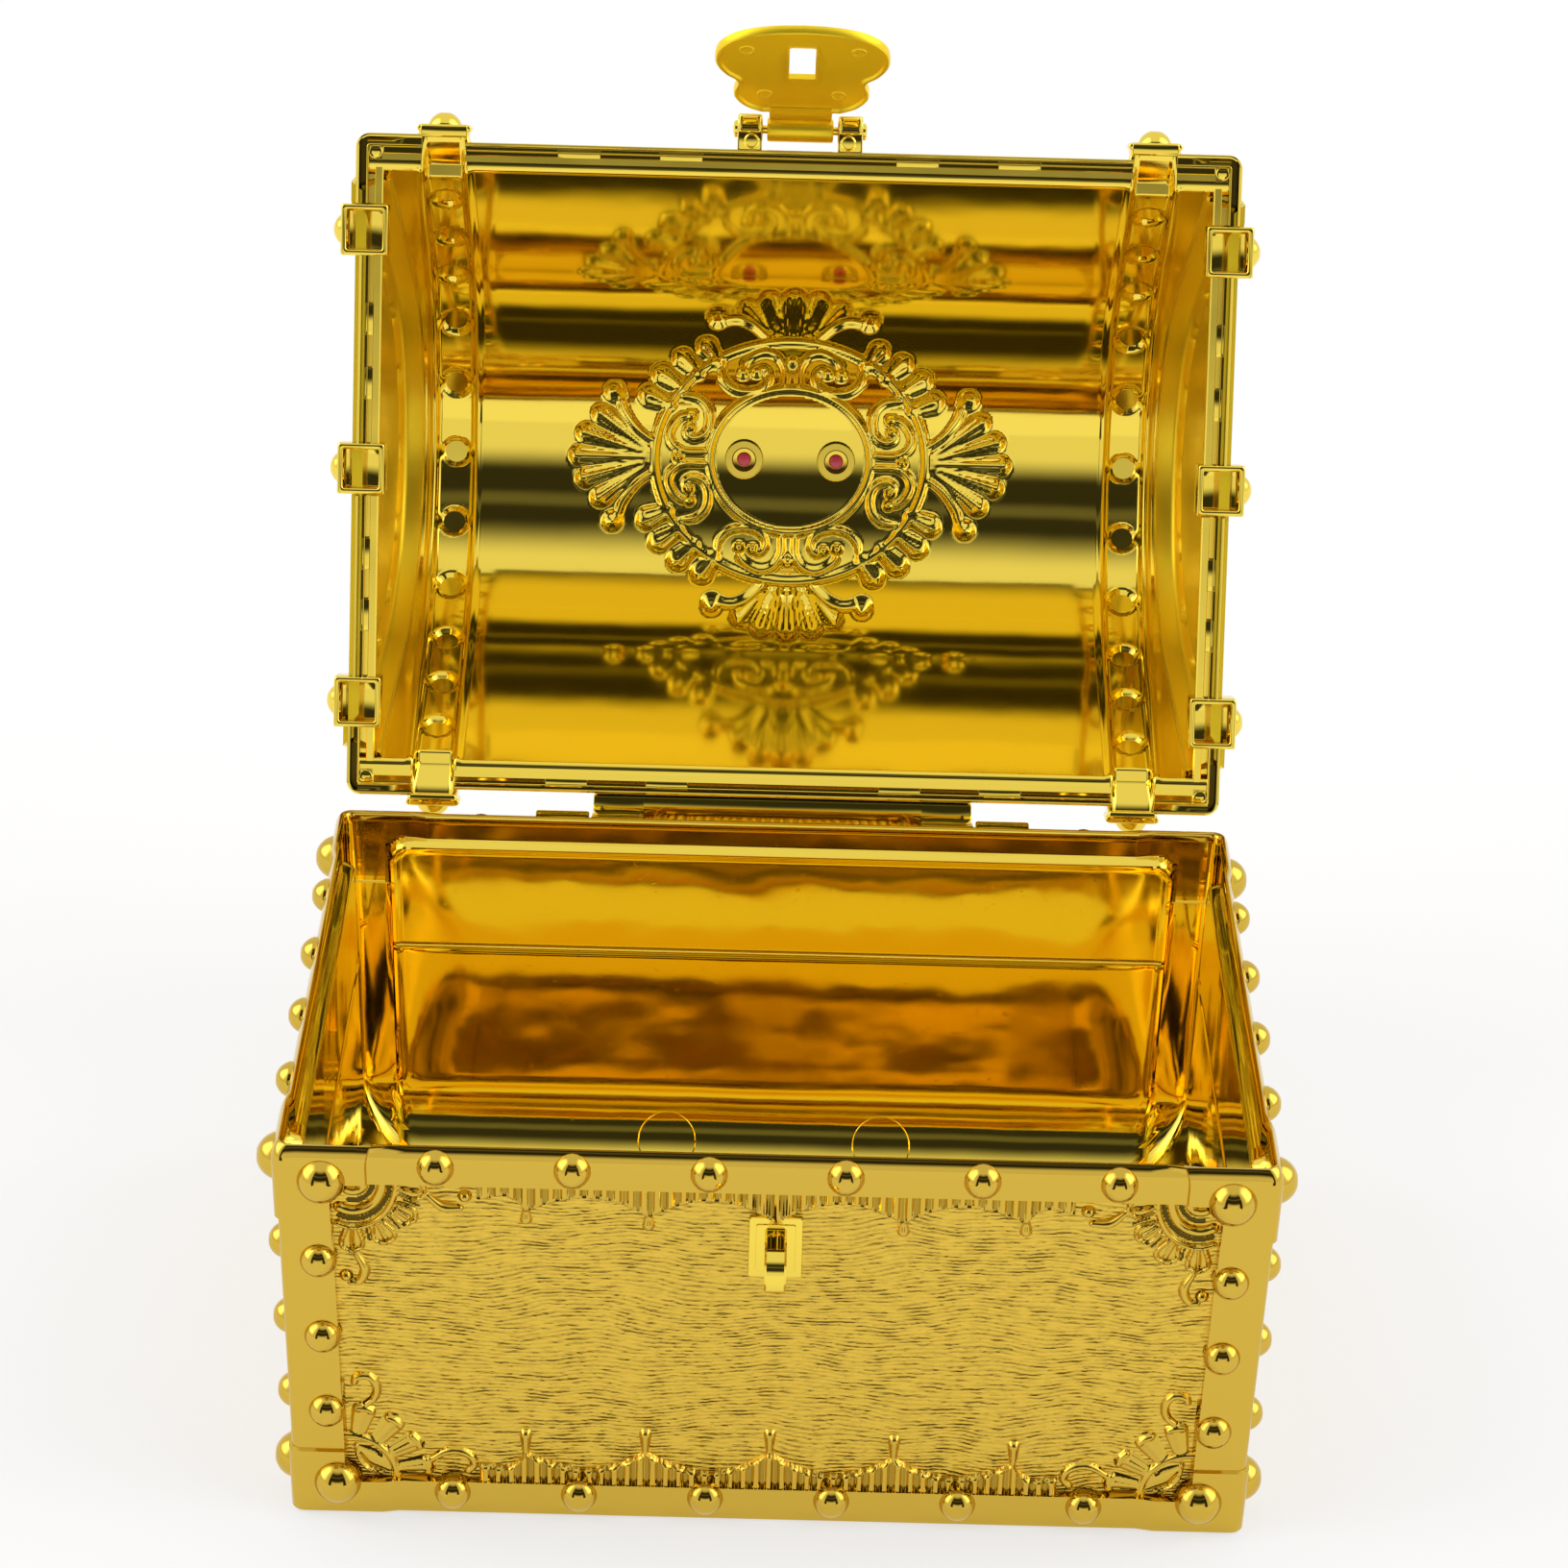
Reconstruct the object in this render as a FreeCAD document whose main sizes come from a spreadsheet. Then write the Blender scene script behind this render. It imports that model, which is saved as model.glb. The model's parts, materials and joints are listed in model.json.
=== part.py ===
"""Gilt treasure chest box, modelled as a parametric document.

The chest stands on the XY plane with its front towards -Y, and the origin is at the middle of the foot.
The lid is drawn closed, then turned back about the hinge to the open angle at which it rests, and the
hasp is turned out from its hanging place in the same way. Lengths are millimetres, angles degrees.
"""
import FreeCAD, Part
import os

SIZES = (
    ("chest_width", 165.0, "outside width at the rim of the base"),
    ("chest_depth", 124.0, "outside depth at the rim of the base"),
    ("base_height", 72.4, "foot to rim"),
    ("side_taper", 2.2, "how far each side draws in from the rim to the foot"),
    ("wall", 2.0, "wall of the mouldings"),
    ("floor_thickness", 2.2, "thickness of the floor"),
    ("cove_radius", 17.5, "rounding between floor and walls"),
    ("top_band", 7.0, "height of the band under the rim"),
    ("foot_band", 6.5, "height of the band at the foot"),
    ("corner_band", 9.0, "width of the upright bands at the corners"),
    ("panel_inset", 1.5, "how far the panels lie behind the bands"),
    ("bracket_proud", 0.6, "how far the corner brackets stand out of the bands"),
    ("bracket_reach", 15.0, "reach of a bracket along the rim"),
    ("top_bracket", 14.0, "height of a bracket at the rim"),
    ("foot_bracket", 12.5, "height of a bracket at the foot"),
    ("stud_diameter", 6.2, "small domed stud"),
    ("stud_height", 2.2, "small domed stud"),
    ("big_stud_diameter", 8.0, "stud on a corner bracket"),
    ("big_stud_height", 3.0, "stud on a corner bracket"),
    ("rim_stud_pitch", 22.4, "studs along the band under the rim"),
    ("foot_stud_pitch", 21.4, "studs along the band at the foot"),
    ("post_stud_pitch", 15.0, "studs up a corner band"),
    ("post_stud_inset", 6.3, "corner to the middle of a stud on a corner band"),
    ("big_stud_inset", 7.6, "corner to the middle of a big stud"),
    ("big_stud_drop", 6.2, "rim or foot to the middle of a big stud"),
    ("rim_gap", 0.3, "gap between base and closed lid"),
    ("lid_rim", 7.0, "height of the upright rim of the lid"),
    ("lid_height", 55.0, "rim to crown of the lid"),
    ("crown_radius", 44.5, "rounding of the crown, outside"),
    ("side_slope", 59.0, "angle of the straight sides of the arch to the rim"),
    ("lid_lean", 4.2, "how far each end of the lid leans in up to the crown"),
    ("end_wall", 2.0, "thickness of an end panel"),
    ("end_lip_inset", 6.0, "outside of an end panel to the inner face of its lip"),
    ("end_lip_wall", 1.6, "lip behind the rim of an end panel"),
    ("end_flange_length", 4.0, "flange of an end panel, inside the barrel"),
    ("end_flange_wall", 1.5, "flange of an end panel, inside the barrel"),
    ("end_flange_fit", 0.1, "play between that flange and the barrel"),
    ("arch_band", 7.5, "width of the band round an end panel"),
    ("arch_band_proud", 0.9, "how far that band stands out"),
    ("arch_stud_pitch", 17.2, "studs of that band, along the arch"),
    ("clasp_width", 9.5, "upright clasp on the rim of an end panel"),
    ("clasp_proud", 2.0, "how far the clasps stand out of the rim"),
    ("clasp_spread", 44.0, "middle clasp to its neighbours"),
    ("strap_place", 66.2, "middle of the lid to the middle of a strap"),
    ("strap_width", 9.0, "strap over the lid"),
    ("strap_proud", 1.3, "how far a strap stands out of the arch"),
    ("strap_stud_pitch", 14.0, "studs of a strap, along the arch"),
    ("dimple_radius", 2.2, "hollow back of a strap stud"),
    ("medallion_proud", 1.4, "relief of the medallion on the crown"),
    ("medallion_wall", 1.6, "outline to hollow back of the medallion"),
    ("ring_width", 50.0, "oval middle of the medallion, along the chest"),
    ("ring_depth", 45.0, "oval middle of the medallion, across the chest"),
    ("side_fan_width", 27.0, "shell at each end of the medallion"),
    ("side_fan_depth", 25.0, "shell at each end of the medallion"),
    ("cross_fan_width", 32.0, "shell at front and back of the medallion"),
    ("cross_fan_depth", 19.0, "shell at front and back of the medallion"),
    ("fan_overlap", 5.5, "how far a shell tucks under the oval"),
    ("jewel_diameter", 25.0, "cabochon on the medallion"),
    ("jewel_height", 5.0, "rise of the cabochon"),
    ("jewel_seat", 1.0, "rise of the flat seat under the cabochon"),
    ("peg_spacing", 18.2, "between the two pegs of the cabochon"),
    ("peg_diameter", 2.0, "pegs of the cabochon and of the staple"),
    ("boss_diameter", 7.6, "boss round a peg, inside the lid"),
    ("boss_height", 1.6, "boss round a peg, inside the lid"),
    ("hinge_back", 6.0, "back of the base to the hinge axis"),
    ("hinge_drop", 7.8, "rim of the base down to the hinge axis"),
    ("hinge_spread", 36.2, "middle of the chest to the joint between ear and knuckle"),
    ("hinge_play", 0.3, "gap between ear and knuckle"),
    ("ear_width", 10.0, "hinge ear on the base"),
    ("ear_radius", 5.0, "hinge ear on the base"),
    ("knuckle_width", 10.0, "hinge knuckle on the lid"),
    ("knuckle_radius", 4.2, "hinge knuckle on the lid"),
    ("hinge_rail_depth", 4.0, "rail between the knuckles"),
    ("hinge_pin_diameter", 3.0, "steel hinge pin"),
    ("running_fit", 0.08, "radial play of a pin in what turns on it"),
    ("hasp_pin_out", 2.5, "front of the lid rim to the hasp pin"),
    ("hasp_pin_rise", 3.4, "lower edge of the lid rim up to the hasp pin"),
    ("hasp_pin_diameter", 1.6, "steel hasp pin"),
    ("lug_gap", 14.0, "between the two lugs of the hasp"),
    ("lug_width", 4.7, "lug of the hasp"),
    ("lug_radius", 2.9, "lug of the hasp"),
    ("hasp_barrel_width", 12.3, "rolled end of the hasp"),
    ("hasp_barrel_radius", 2.2, "rolled end of the hasp"),
    ("hasp_thickness", 1.4, "plate of the hasp"),
    ("hasp_step", 1.7, "pin to the middle of the plate, outwards"),
    ("hasp_neck", 11.7, "width of the neck"),
    ("hasp_length", 32.0, "pin to the free end"),
    ("hasp_small_lobe", 25.0, "width of the lobe near the neck"),
    ("hasp_small_lobe_height", 16.0, "height of that lobe"),
    ("hasp_small_lobe_drop", 10.0, "pin to the middle of that lobe"),
    ("hasp_big_lobe", 32.0, "width of the lobe at the free end"),
    ("hasp_big_lobe_height", 22.0, "height of that lobe"),
    ("slot_reach", 21.3, "pin to the middle of the slot"),
    ("slot_width", 4.8, "slot of the hasp"),
    ("slot_height", 10.4, "slot of the hasp"),
    ("staple_plate_width", 9.0, "plate of the staple"),
    ("staple_plate_height", 11.6, "plate of the staple"),
    ("staple_plate_thickness", 1.4, "plate of the staple"),
    ("staple_seat", 0.3, "least depth of the flat seat of the staple in the panel"),
    ("staple_width", 3.6, "loop of the staple"),
    ("staple_height", 8.0, "loop of the staple"),
    ("staple_wire", 1.7, "thickness of the loop"),
    ("staple_reach", 4.6, "how far the loop stands out in front of the closed hasp"),
    ("lid_open", 109.0, "angle of the lid from closed to its stop"),
    ("hasp_out", 31.0, "angle of the hasp from hanging to where it rests"),
)

doc = FreeCAD.newDocument("treasure_chest")
sheet = doc.addObject("Spreadsheet::Sheet", "sizes")
for row, (alias, value, meaning) in enumerate(SIZES, start=1):
    sheet.set(f"A{row}", alias)
    sheet.set(f"B{row}", str(value))
    sheet.set(f"C{row}", meaning)
    sheet.setAlias(f"B{row}", alias)
doc.recompute()

X_AXIS = FreeCAD.Vector(1, 0, 0)
Y_AXIS = FreeCAD.Vector(0, 1, 0)
Z_AXIS = FreeCAD.Vector(0, 0, 1)
UPRIGHT = FreeCAD.Rotation(X_AXIS, 90)
ALONG_X = FreeCAD.Rotation(Y_AXIS, 90)
PAST = "sizes.wall"
SAME_HEIGHT = 0.01

# How many studs a row has: whole rows on the base, and each way from the middle on the lid.
LONG_FACE_STUDS = 6
CROSS_FACE_STUDS = 4
STRAP_STUDS_EACH_WAY = 5
ARCH_STUDS_EACH_WAY = 3
REACH_ALL = "(sizes.chest_width + sizes.chest_depth)"

# Places that several pieces share, each worked out from the sizes.
FLOOR_TOP = "sizes.floor_thickness"
RIM = "sizes.base_height"
LID_BOTTOM = "(sizes.base_height + sizes.rim_gap)"
LID_TOP = f"({LID_BOTTOM} + sizes.lid_height)"
SLOPE = "sizes.side_slope"
CROWN_CENTRE = f"({LID_TOP} - sizes.crown_radius)"
CROWN_RUN = f"(sizes.crown_radius * {SLOPE} * pi / 180)"
HINGE_Y = "(sizes.chest_depth / 2 + sizes.hinge_back)"
HINGE_Z = "(sizes.base_height - sizes.hinge_drop)"
PIN_Y = "(-sizes.chest_depth / 2 - sizes.hasp_pin_out)"
PIN_Z = f"({LID_BOTTOM} + sizes.hasp_pin_rise)"
PLATE_Y = f"({PIN_Y} - sizes.hasp_step)"
STAPLE_Z = f"({PIN_Z} - sizes.slot_reach)"
STUD_RADIUS = "((sizes.stud_diameter ^ 2 / 4 + sizes.stud_height ^ 2) / (2 * sizes.stud_height))"
BIG_STUD_RADIUS = ("((sizes.big_stud_diameter ^ 2 / 4 + sizes.big_stud_height ^ 2)"
                   " / (2 * sizes.big_stud_height))")
STUD_SINK = f"({STUD_RADIUS} - sizes.stud_height)"
BIG_STUD_SINK = f"({BIG_STUD_RADIUS} - sizes.big_stud_height)"


def drawn_in(height):
    """How far the sides have drawn in at a height above the foot."""
    return f"(sizes.side_taper * (1 - ({height}) / sizes.base_height))"


def half_width(height, inset):
    return f"(sizes.chest_width / 2 - {drawn_in(height)} - ({inset}))"


def half_depth(height, inset):
    return f"(sizes.chest_depth / 2 - {drawn_in(height)} - ({inset}))"


def lid_half_width(height, inset):
    """Half the width of the leaning lid at a height above its lower edge."""
    return f"(sizes.chest_width / 2 - sizes.lid_lean * ({height}) / sizes.lid_height - ({inset}))"


def bind(item, **formulas):
    """Ties properties of an object to formulas on the sheet."""
    for name, formula in formulas.items():
        item.setExpression(name.replace("__", "."), formula)
    return item


def place(item, x="0", y="0", z="0"):
    return bind(item, Placement__Base__x=x, Placement__Base__y=y, Placement__Base__z=z)


def box(name, x_span, y_span, z_span):
    """Box between pairs of formulas along each axis."""
    item = doc.addObject("Part::Box", name)
    spans = (x_span, y_span, z_span)
    for side, (low, high) in zip(("Length", "Width", "Height"), spans):
        item.setExpression(side, f"({high}) - ({low})")
    return place(item, x_span[0], y_span[0], z_span[0])


def mirrored_span(half):
    return (f"-({half})", f"({half})")


def tapered(name, z_span, low_halves, high_halves):
    """Block with upright taper: half width and half depth at its lower and upper end."""
    item = doc.addObject("Part::Wedge", name)
    bind(item, Ymin=z_span[0], Ymax=z_span[1])
    bind(item, Xmin=f"-{low_halves[0]}", Xmax=low_halves[0], Zmin=f"-{low_halves[1]}", Zmax=low_halves[1])
    bind(item, X2min=f"-{high_halves[0]}", X2max=high_halves[0])
    bind(item, Z2min=f"-{high_halves[1]}", Z2max=high_halves[1])
    item.Placement.Rotation = UPRIGHT
    return item


def frustum(name, inset, low, high):
    """The tapered body of the base, drawn in by an inset, between two heights."""
    low_halves = (half_width(low, inset), half_depth(low, inset))
    high_halves = (half_width(high, inset), half_depth(high, inset))
    return tapered(name, (low, high), low_halves, high_halves)


def rod_x(name, radius, x_span, y, z):
    """Round bar along X."""
    item = doc.addObject("Part::Cylinder", name)
    bind(item, Radius=radius, Height=f"({x_span[1]}) - ({x_span[0]})")
    item.Placement.Rotation = ALONG_X
    return place(item, x_span[0], y, z)


def rod_y(name, radius, x, y_span, z):
    """Round bar along Y."""
    item = doc.addObject("Part::Cylinder", name)
    bind(item, Radius=radius, Height=f"({y_span[1]}) - ({y_span[0]})")
    item.Placement.Rotation = UPRIGHT
    return place(item, x, y_span[1], z)


def rod_z(name, radius, x, y, z_span):
    """Round bar along Z."""
    item = doc.addObject("Part::Cylinder", name)
    bind(item, Radius=radius, Height=f"({z_span[1]}) - ({z_span[0]})")
    return place(item, x, y, z_span[0])


def ball(name, radius, x, y, z):
    item = doc.addObject("Part::Sphere", name)
    bind(item, Radius=radius)
    return place(item, x, y, z)


def oval(name, width, depth, shrink, x, y, z_span):
    """Upright oval block, drawn in by a margin: width along X, depth along Y, both names of sizes."""
    line = doc.addObject("Part::Ellipse", name + "_line")
    both = f"sizes.{width}; sizes.{depth}"
    bind(line, MajorRadius=f"max({both}) / 2 - ({shrink})", MinorRadius=f"min({both}) / 2 - ({shrink})")
    line.Placement.Rotation = FreeCAD.Rotation(Z_AXIS, 90)
    bind(line, Placement__Rotation__Angle=f"sizes.{width} < sizes.{depth} ? 90 : 0")
    place(line, x, y, z_span[0])
    item = doc.addObject("Part::Extrusion", name)
    item.Base = line
    item.DirMode = "Custom"
    item.Dir = Z_AXIS
    item.Solid = True
    return bind(item, LengthFwd=f"({z_span[1]}) - ({z_span[0]})")


def fuse(name, items):
    item = doc.addObject("Part::MultiFuse", name)
    item.Shapes = items
    item.Refine = True
    return item


def common(name, items):
    item = doc.addObject("Part::MultiCommon", name)
    item.Shapes = items
    return item


def cut(name, base, tool):
    item = doc.addObject("Part::Cut", name)
    item.Base = base
    item.Tool = tool
    item.Refine = True
    return item


def finished(item, node):
    """Marks an object as a sub-part of the chest, under its node name."""
    item.Label = node
    return item


# Studs: whole balls sunk in the bands, which the hollow of the base trims from inside.

def face_stud(name, big, face, along, height):
    """A stud on one face of the base, at a place along the face and a height above the foot."""
    radius = BIG_STUD_RADIUS if big else STUD_RADIUS
    sink = BIG_STUD_SINK if big else STUD_SINK
    inset = f"{sink} - sizes.bracket_proud" if big else sink
    if face in ("front", "back"):
        out = half_depth(height, inset)
        return ball(name, radius, along, f"-{out}" if face == "front" else out, height)
    out = half_width(height, inset)
    return ball(name, radius, f"-{out}" if face == "left" else out, along, height)


def base_studs():
    """All studs of the base. The hinge takes the place of those at the middle of the back rim."""
    band_middle = f"({RIM} - sizes.top_band / 2)"
    foot_middle = "(sizes.foot_band / 2 + sizes.wall / 2)"
    post_middle = f"(({RIM} - sizes.top_bracket + sizes.foot_bracket) / 2)"
    studs = []
    for face in ("front", "back", "left", "right"):
        long_face = face in ("front", "back")
        half = half_width if long_face else half_depth
        count = LONG_FACE_STUDS if long_face else CROSS_FACE_STUDS
        for i in range(count):
            step = i - (count - 1) / 2
            if face != "back" or i in (0, count - 1):
                studs.append(face_stud(f"{face}_rim_stud_{i}", False, face,
                                       f"{step} * sizes.rim_stud_pitch", band_middle))
            studs.append(face_stud(f"{face}_foot_stud_{i}", False, face,
                                   f"{step} * sizes.foot_stud_pitch", foot_middle))
        for side in (-1, 1):
            for i in (-1, 0, 1):
                height = f"({post_middle} + {i} * sizes.post_stud_pitch)"
                along = f"{side} * {half(height, 'sizes.post_stud_inset')}"
                studs.append(face_stud(f"{face}_post_stud_{side}_{i}", False, face, along, height))
            for level, height in (("top", f"({RIM} - sizes.big_stud_drop)"), ("foot", "sizes.big_stud_drop")):
                along = f"{side} * {half(height, 'sizes.big_stud_inset')}"
                studs.append(face_stud(f"{face}_{level}_corner_stud_{side}", True, face, along, height))
    return studs


def panel_windows(name, edge, low, high):
    """Two crossed blocks that reach through the sides wherever a panel lies between the corner bands."""
    far = REACH_ALL
    long_way = tapered(name + "_x", (low, high), (half_width(low, edge), far), (half_width(high, edge), far))
    cross_way = tapered(name + "_y", (low, high), (far, half_depth(low, edge)), (far, half_depth(high, edge)))
    return fuse(name, [long_way, cross_way])


def corner_brackets(name, low, high):
    """Four brackets that wrap the corners of the base between two heights."""
    ring = frustum(name + "_ring", "-sizes.bracket_proud", low, high)
    level = (f"{low} - {PAST}", f"{high} + {PAST}")
    far = mirrored_span(REACH_ALL)
    long_gap = mirrored_span(half_width(low, "sizes.bracket_reach"))
    cross_gap = mirrored_span(half_depth(low, "sizes.bracket_reach"))
    gaps = fuse(name + "_gaps", [box(name + "_gap_x", long_gap, far, level),
                                 box(name + "_gap_y", far, cross_gap, level)])
    return cut(name, ring, gaps)


def hinge_side(side):
    """Formulas for the ear and the knuckle on one side, as spans along X."""
    ear = ("sizes.hinge_spread", "(sizes.hinge_spread + sizes.ear_width)")
    knuckle_end = "(sizes.hinge_spread - sizes.hinge_play)"
    knuckle = (f"({knuckle_end} - sizes.knuckle_width)", knuckle_end)
    if side > 0:
        return ear, knuckle
    return (f"-{ear[1]}", f"-{ear[0]}"), (f"-{knuckle[1]}", f"-{knuckle[0]}")


def base_tub():
    """The moulded base: tapered tub with bands, corner brackets, studs and hinge ears."""
    bands = frustum("base_block", "0", "0", RIM)
    top_corners = corner_brackets("top_brackets", f"({RIM} - sizes.top_bracket)", RIM)
    foot_corners = corner_brackets("foot_brackets", "0", "sizes.foot_bracket")
    panels = frustum("panel_block", "sizes.panel_inset", "0", RIM)
    windows = panel_windows("panel_windows", "sizes.corner_band", "sizes.foot_band",
                            f"({RIM} - sizes.top_band)")
    framed = cut("framed_block", fuse("banded_block", [bands, top_corners, foot_corners]),
                 cut("panel_recess", windows, panels))
    ears = []
    for side, word in ((-1, "left"), (1, "right")):
        span = hinge_side(side)[0]
        root = half_depth(HINGE_Z, "sizes.panel_inset + sizes.wall")
        level = (f"{HINGE_Z} - sizes.ear_radius", f"{HINGE_Z} + sizes.ear_radius")
        ears.append(rod_x(f"ear_round_{word}", "sizes.ear_radius", span, HINGE_Y, HINGE_Z))
        ears.append(box(f"ear_web_{word}", span, (root, HINGE_Y), level))
    outside = fuse("base_outside", [framed] + ears + base_studs())

    above = f"({RIM} + {PAST})"
    inner_inset = "(sizes.panel_inset + sizes.wall)"
    rim_hollow = frustum("rim_hollow", "sizes.wall", FLOOR_TOP, above)
    panel_hollow = frustum("panel_hollow", inner_inset, FLOOR_TOP, above)
    doc.recompute()
    coved = doc.addObject("Part::Fillet", "coved_hollow")
    coved.Base = panel_hollow
    cove = sheet.get("cove_radius")
    floor_height = sheet.get("floor_thickness")
    coved.Edges = [(i, cove, cove) for i, edge in enumerate(panel_hollow.Shape.Edges, start=1)
                   if abs(edge.BoundBox.ZMax - floor_height) < SAME_HEIGHT]
    inner_windows = panel_windows("inner_windows", "sizes.corner_band - sizes.wall",
                                  f"({FLOOR_TOP} - {PAST})", f"({RIM} - sizes.top_band + sizes.wall)")
    hollow = cut("base_hollow", rim_hollow, cut("inner_ledges", inner_windows, coved))
    pin_holes = []
    for side, word in ((-1, "left"), (1, "right")):
        ear = hinge_side(side)[0]
        pin_holes.append(rod_x(f"ear_hole_{word}", "sizes.hinge_pin_diameter / 2", ear, HINGE_Y, HINGE_Z))
    seat = box("staple_seat_cut", mirrored_span("sizes.staple_plate_width / 2"),
               (f"-{REACH_ALL}", STAPLE_BACK), STAPLE_LEVEL)
    away = fuse("base_cuts", [hollow, seat] + pin_holes + staple_pegs("staple_hole"))
    return finished(cut("base_tub", outside, away), "base_tub")


# The staple sits in a flat upright seat, cut just into the leaning panel.
STAPLE_LEVEL = (f"({STAPLE_Z} - sizes.staple_plate_height / 2)",
                f"({STAPLE_Z} + sizes.staple_plate_height / 2)")
STAPLE_BACK = f"-{half_depth(STAPLE_LEVEL[0], 'sizes.panel_inset + sizes.staple_seat')}"
STAPLE_FRONT = f"({STAPLE_BACK} - sizes.staple_plate_thickness)"


def staple_pegs(name):
    """Two pegs that pass through the front wall behind the staple."""
    inner_face = f"-{half_depth(STAPLE_LEVEL[1], 'sizes.panel_inset + sizes.wall')}"
    pegs = []
    for step in (-1, 1):
        height = f"({STAPLE_Z} + {step} * (sizes.staple_plate_height / 2 - sizes.peg_diameter))"
        pegs.append(rod_y(f"{name}_{step}", "sizes.peg_diameter / 2", "0", (STAPLE_BACK, inner_face), height))
    return pegs


def hasp_staple():
    """The loop that the hasp drops over: a plate, a U of flat wire and two pegs."""
    past_wire = mirrored_span("sizes.staple_plate_width / 2")
    plate = box("staple_plate", past_wire, (STAPLE_FRONT, STAPLE_BACK), STAPLE_LEVEL)
    outer = "(sizes.staple_height / 2)"
    inner = f"({outer} - sizes.staple_wire)"
    nose_y = f"({PLATE_Y} - sizes.hasp_thickness / 2 - sizes.staple_reach + {outer})"
    wire = mirrored_span("sizes.staple_width / 2")
    body = [rod_x("staple_nose", outer, wire, nose_y, STAPLE_Z),
            box("staple_legs", wire, (nose_y, STAPLE_BACK),
                (f"{STAPLE_Z} - {outer}", f"{STAPLE_Z} + {outer}"))]
    eye = [rod_x("eye_nose", inner, past_wire, nose_y, STAPLE_Z),
           box("eye_gap", past_wire, (nose_y, STAPLE_FRONT),
               (f"{STAPLE_Z} - {inner}", f"{STAPLE_Z} + {inner}"))]
    loop = cut("staple_loop", fuse("staple_bar", body), fuse("staple_eye", eye))
    return finished(fuse("hasp_staple", [plate, loop] + staple_pegs("staple_peg")), "hasp_staple")


def hinge_pin(side, word):
    """Steel pin, pressed into the ear and reaching through the knuckle."""
    ear, knuckle = hinge_side(side)
    span = (knuckle[0], ear[1]) if side > 0 else (ear[0], knuckle[1])
    pin = rod_x(f"hinge_pin_{word}", "sizes.hinge_pin_diameter / 2", span, HINGE_Y, HINGE_Z)
    return finished(pin, f"hinge_pin_{word}")


# The lid is drawn closed. Its arch has a round crown and straight sides, and its ends lean in upwards.

ALL_X = mirrored_span(REACH_ALL)
ABOVE_LID = f"({LID_TOP} + {REACH_ALL})"


def lid_wedge(name, inset):
    """Everything between two planes that lean with the ends of the lid."""
    top = f"({LID_TOP} + sizes.lid_height)"
    low = f"({LID_BOTTOM} - sizes.lid_height)"
    low_half = lid_half_width("-sizes.lid_height", inset)
    top_half = lid_half_width("2 * sizes.lid_height", inset)
    return tapered(name, (low, top), (low_half, REACH_ALL), (top_half, REACH_ALL))


def arch_block(name, x_span, grow, low):
    """Solid under the arch, grown outwards, above a height: a round crown that runs on into flat sides."""
    radius = f"(sizes.crown_radius + ({grow}))"
    meet = f"({CROWN_CENTRE} + {radius} * cos({SLOPE}))"
    meet_half = f"({radius} * sin({SLOPE}))"
    low_half = f"({meet_half} + ({meet} - ({low})) / tan({SLOPE}))"
    drum = rod_x(name + "_drum", radius, ALL_X, "0", CROWN_CENTRE)
    above = box(name + "_above", ALL_X, mirrored_span(REACH_ALL), (meet, ABOVE_LID))
    crown = common(name + "_crown", [drum, above])
    sides = tapered(name + "_sides", (low, meet), (REACH_ALL, low_half), (REACH_ALL, meet_half))
    room = box(name + "_room", x_span, mirrored_span(REACH_ALL), (low, ABOVE_LID))
    return common(name, [fuse(name + "_full", [crown, sides]), room])


def rim_block(name, x_span, grow, z_span):
    half = f"(sizes.chest_depth / 2 + ({grow}))"
    return box(name, x_span, mirrored_span(half), z_span)


def lid_solid(name):
    """The lid as a solid of endless length: rim and arch."""
    rim = rim_block(name + "_rim", ALL_X, "0", (LID_BOTTOM, f"{LID_BOTTOM} + sizes.lid_rim"))
    arch = arch_block(name + "_arch", ALL_X, "0", f"({LID_BOTTOM} + sizes.lid_rim - {PAST})")
    return fuse(name, [rim, arch])


def strap_span(side, width):
    return (f"({side} * sizes.strap_place - ({width}) / 2)", f"({side} * sizes.strap_place + ({width}) / 2)")


def on_arch(grow, steps, pitch):
    """Formulas for the Y and Z of a place some steps along the arch from its crown, grown outwards."""
    side = -1 if steps < 0 else 1
    run = f"({abs(steps)} * {pitch})"
    radius = f"(sizes.crown_radius + ({grow}))"
    angle = f"min({run} / sizes.crown_radius * 180 / pi; {SLOPE})"
    past = f"max({run} - {CROWN_RUN}; 0)"
    y = f"({side} * ({radius} * sin({angle}) + {past} * cos({SLOPE})))"
    return y, f"({CROWN_CENTRE} + {radius} * cos({angle}) - {past} * sin({SLOPE}))"


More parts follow.
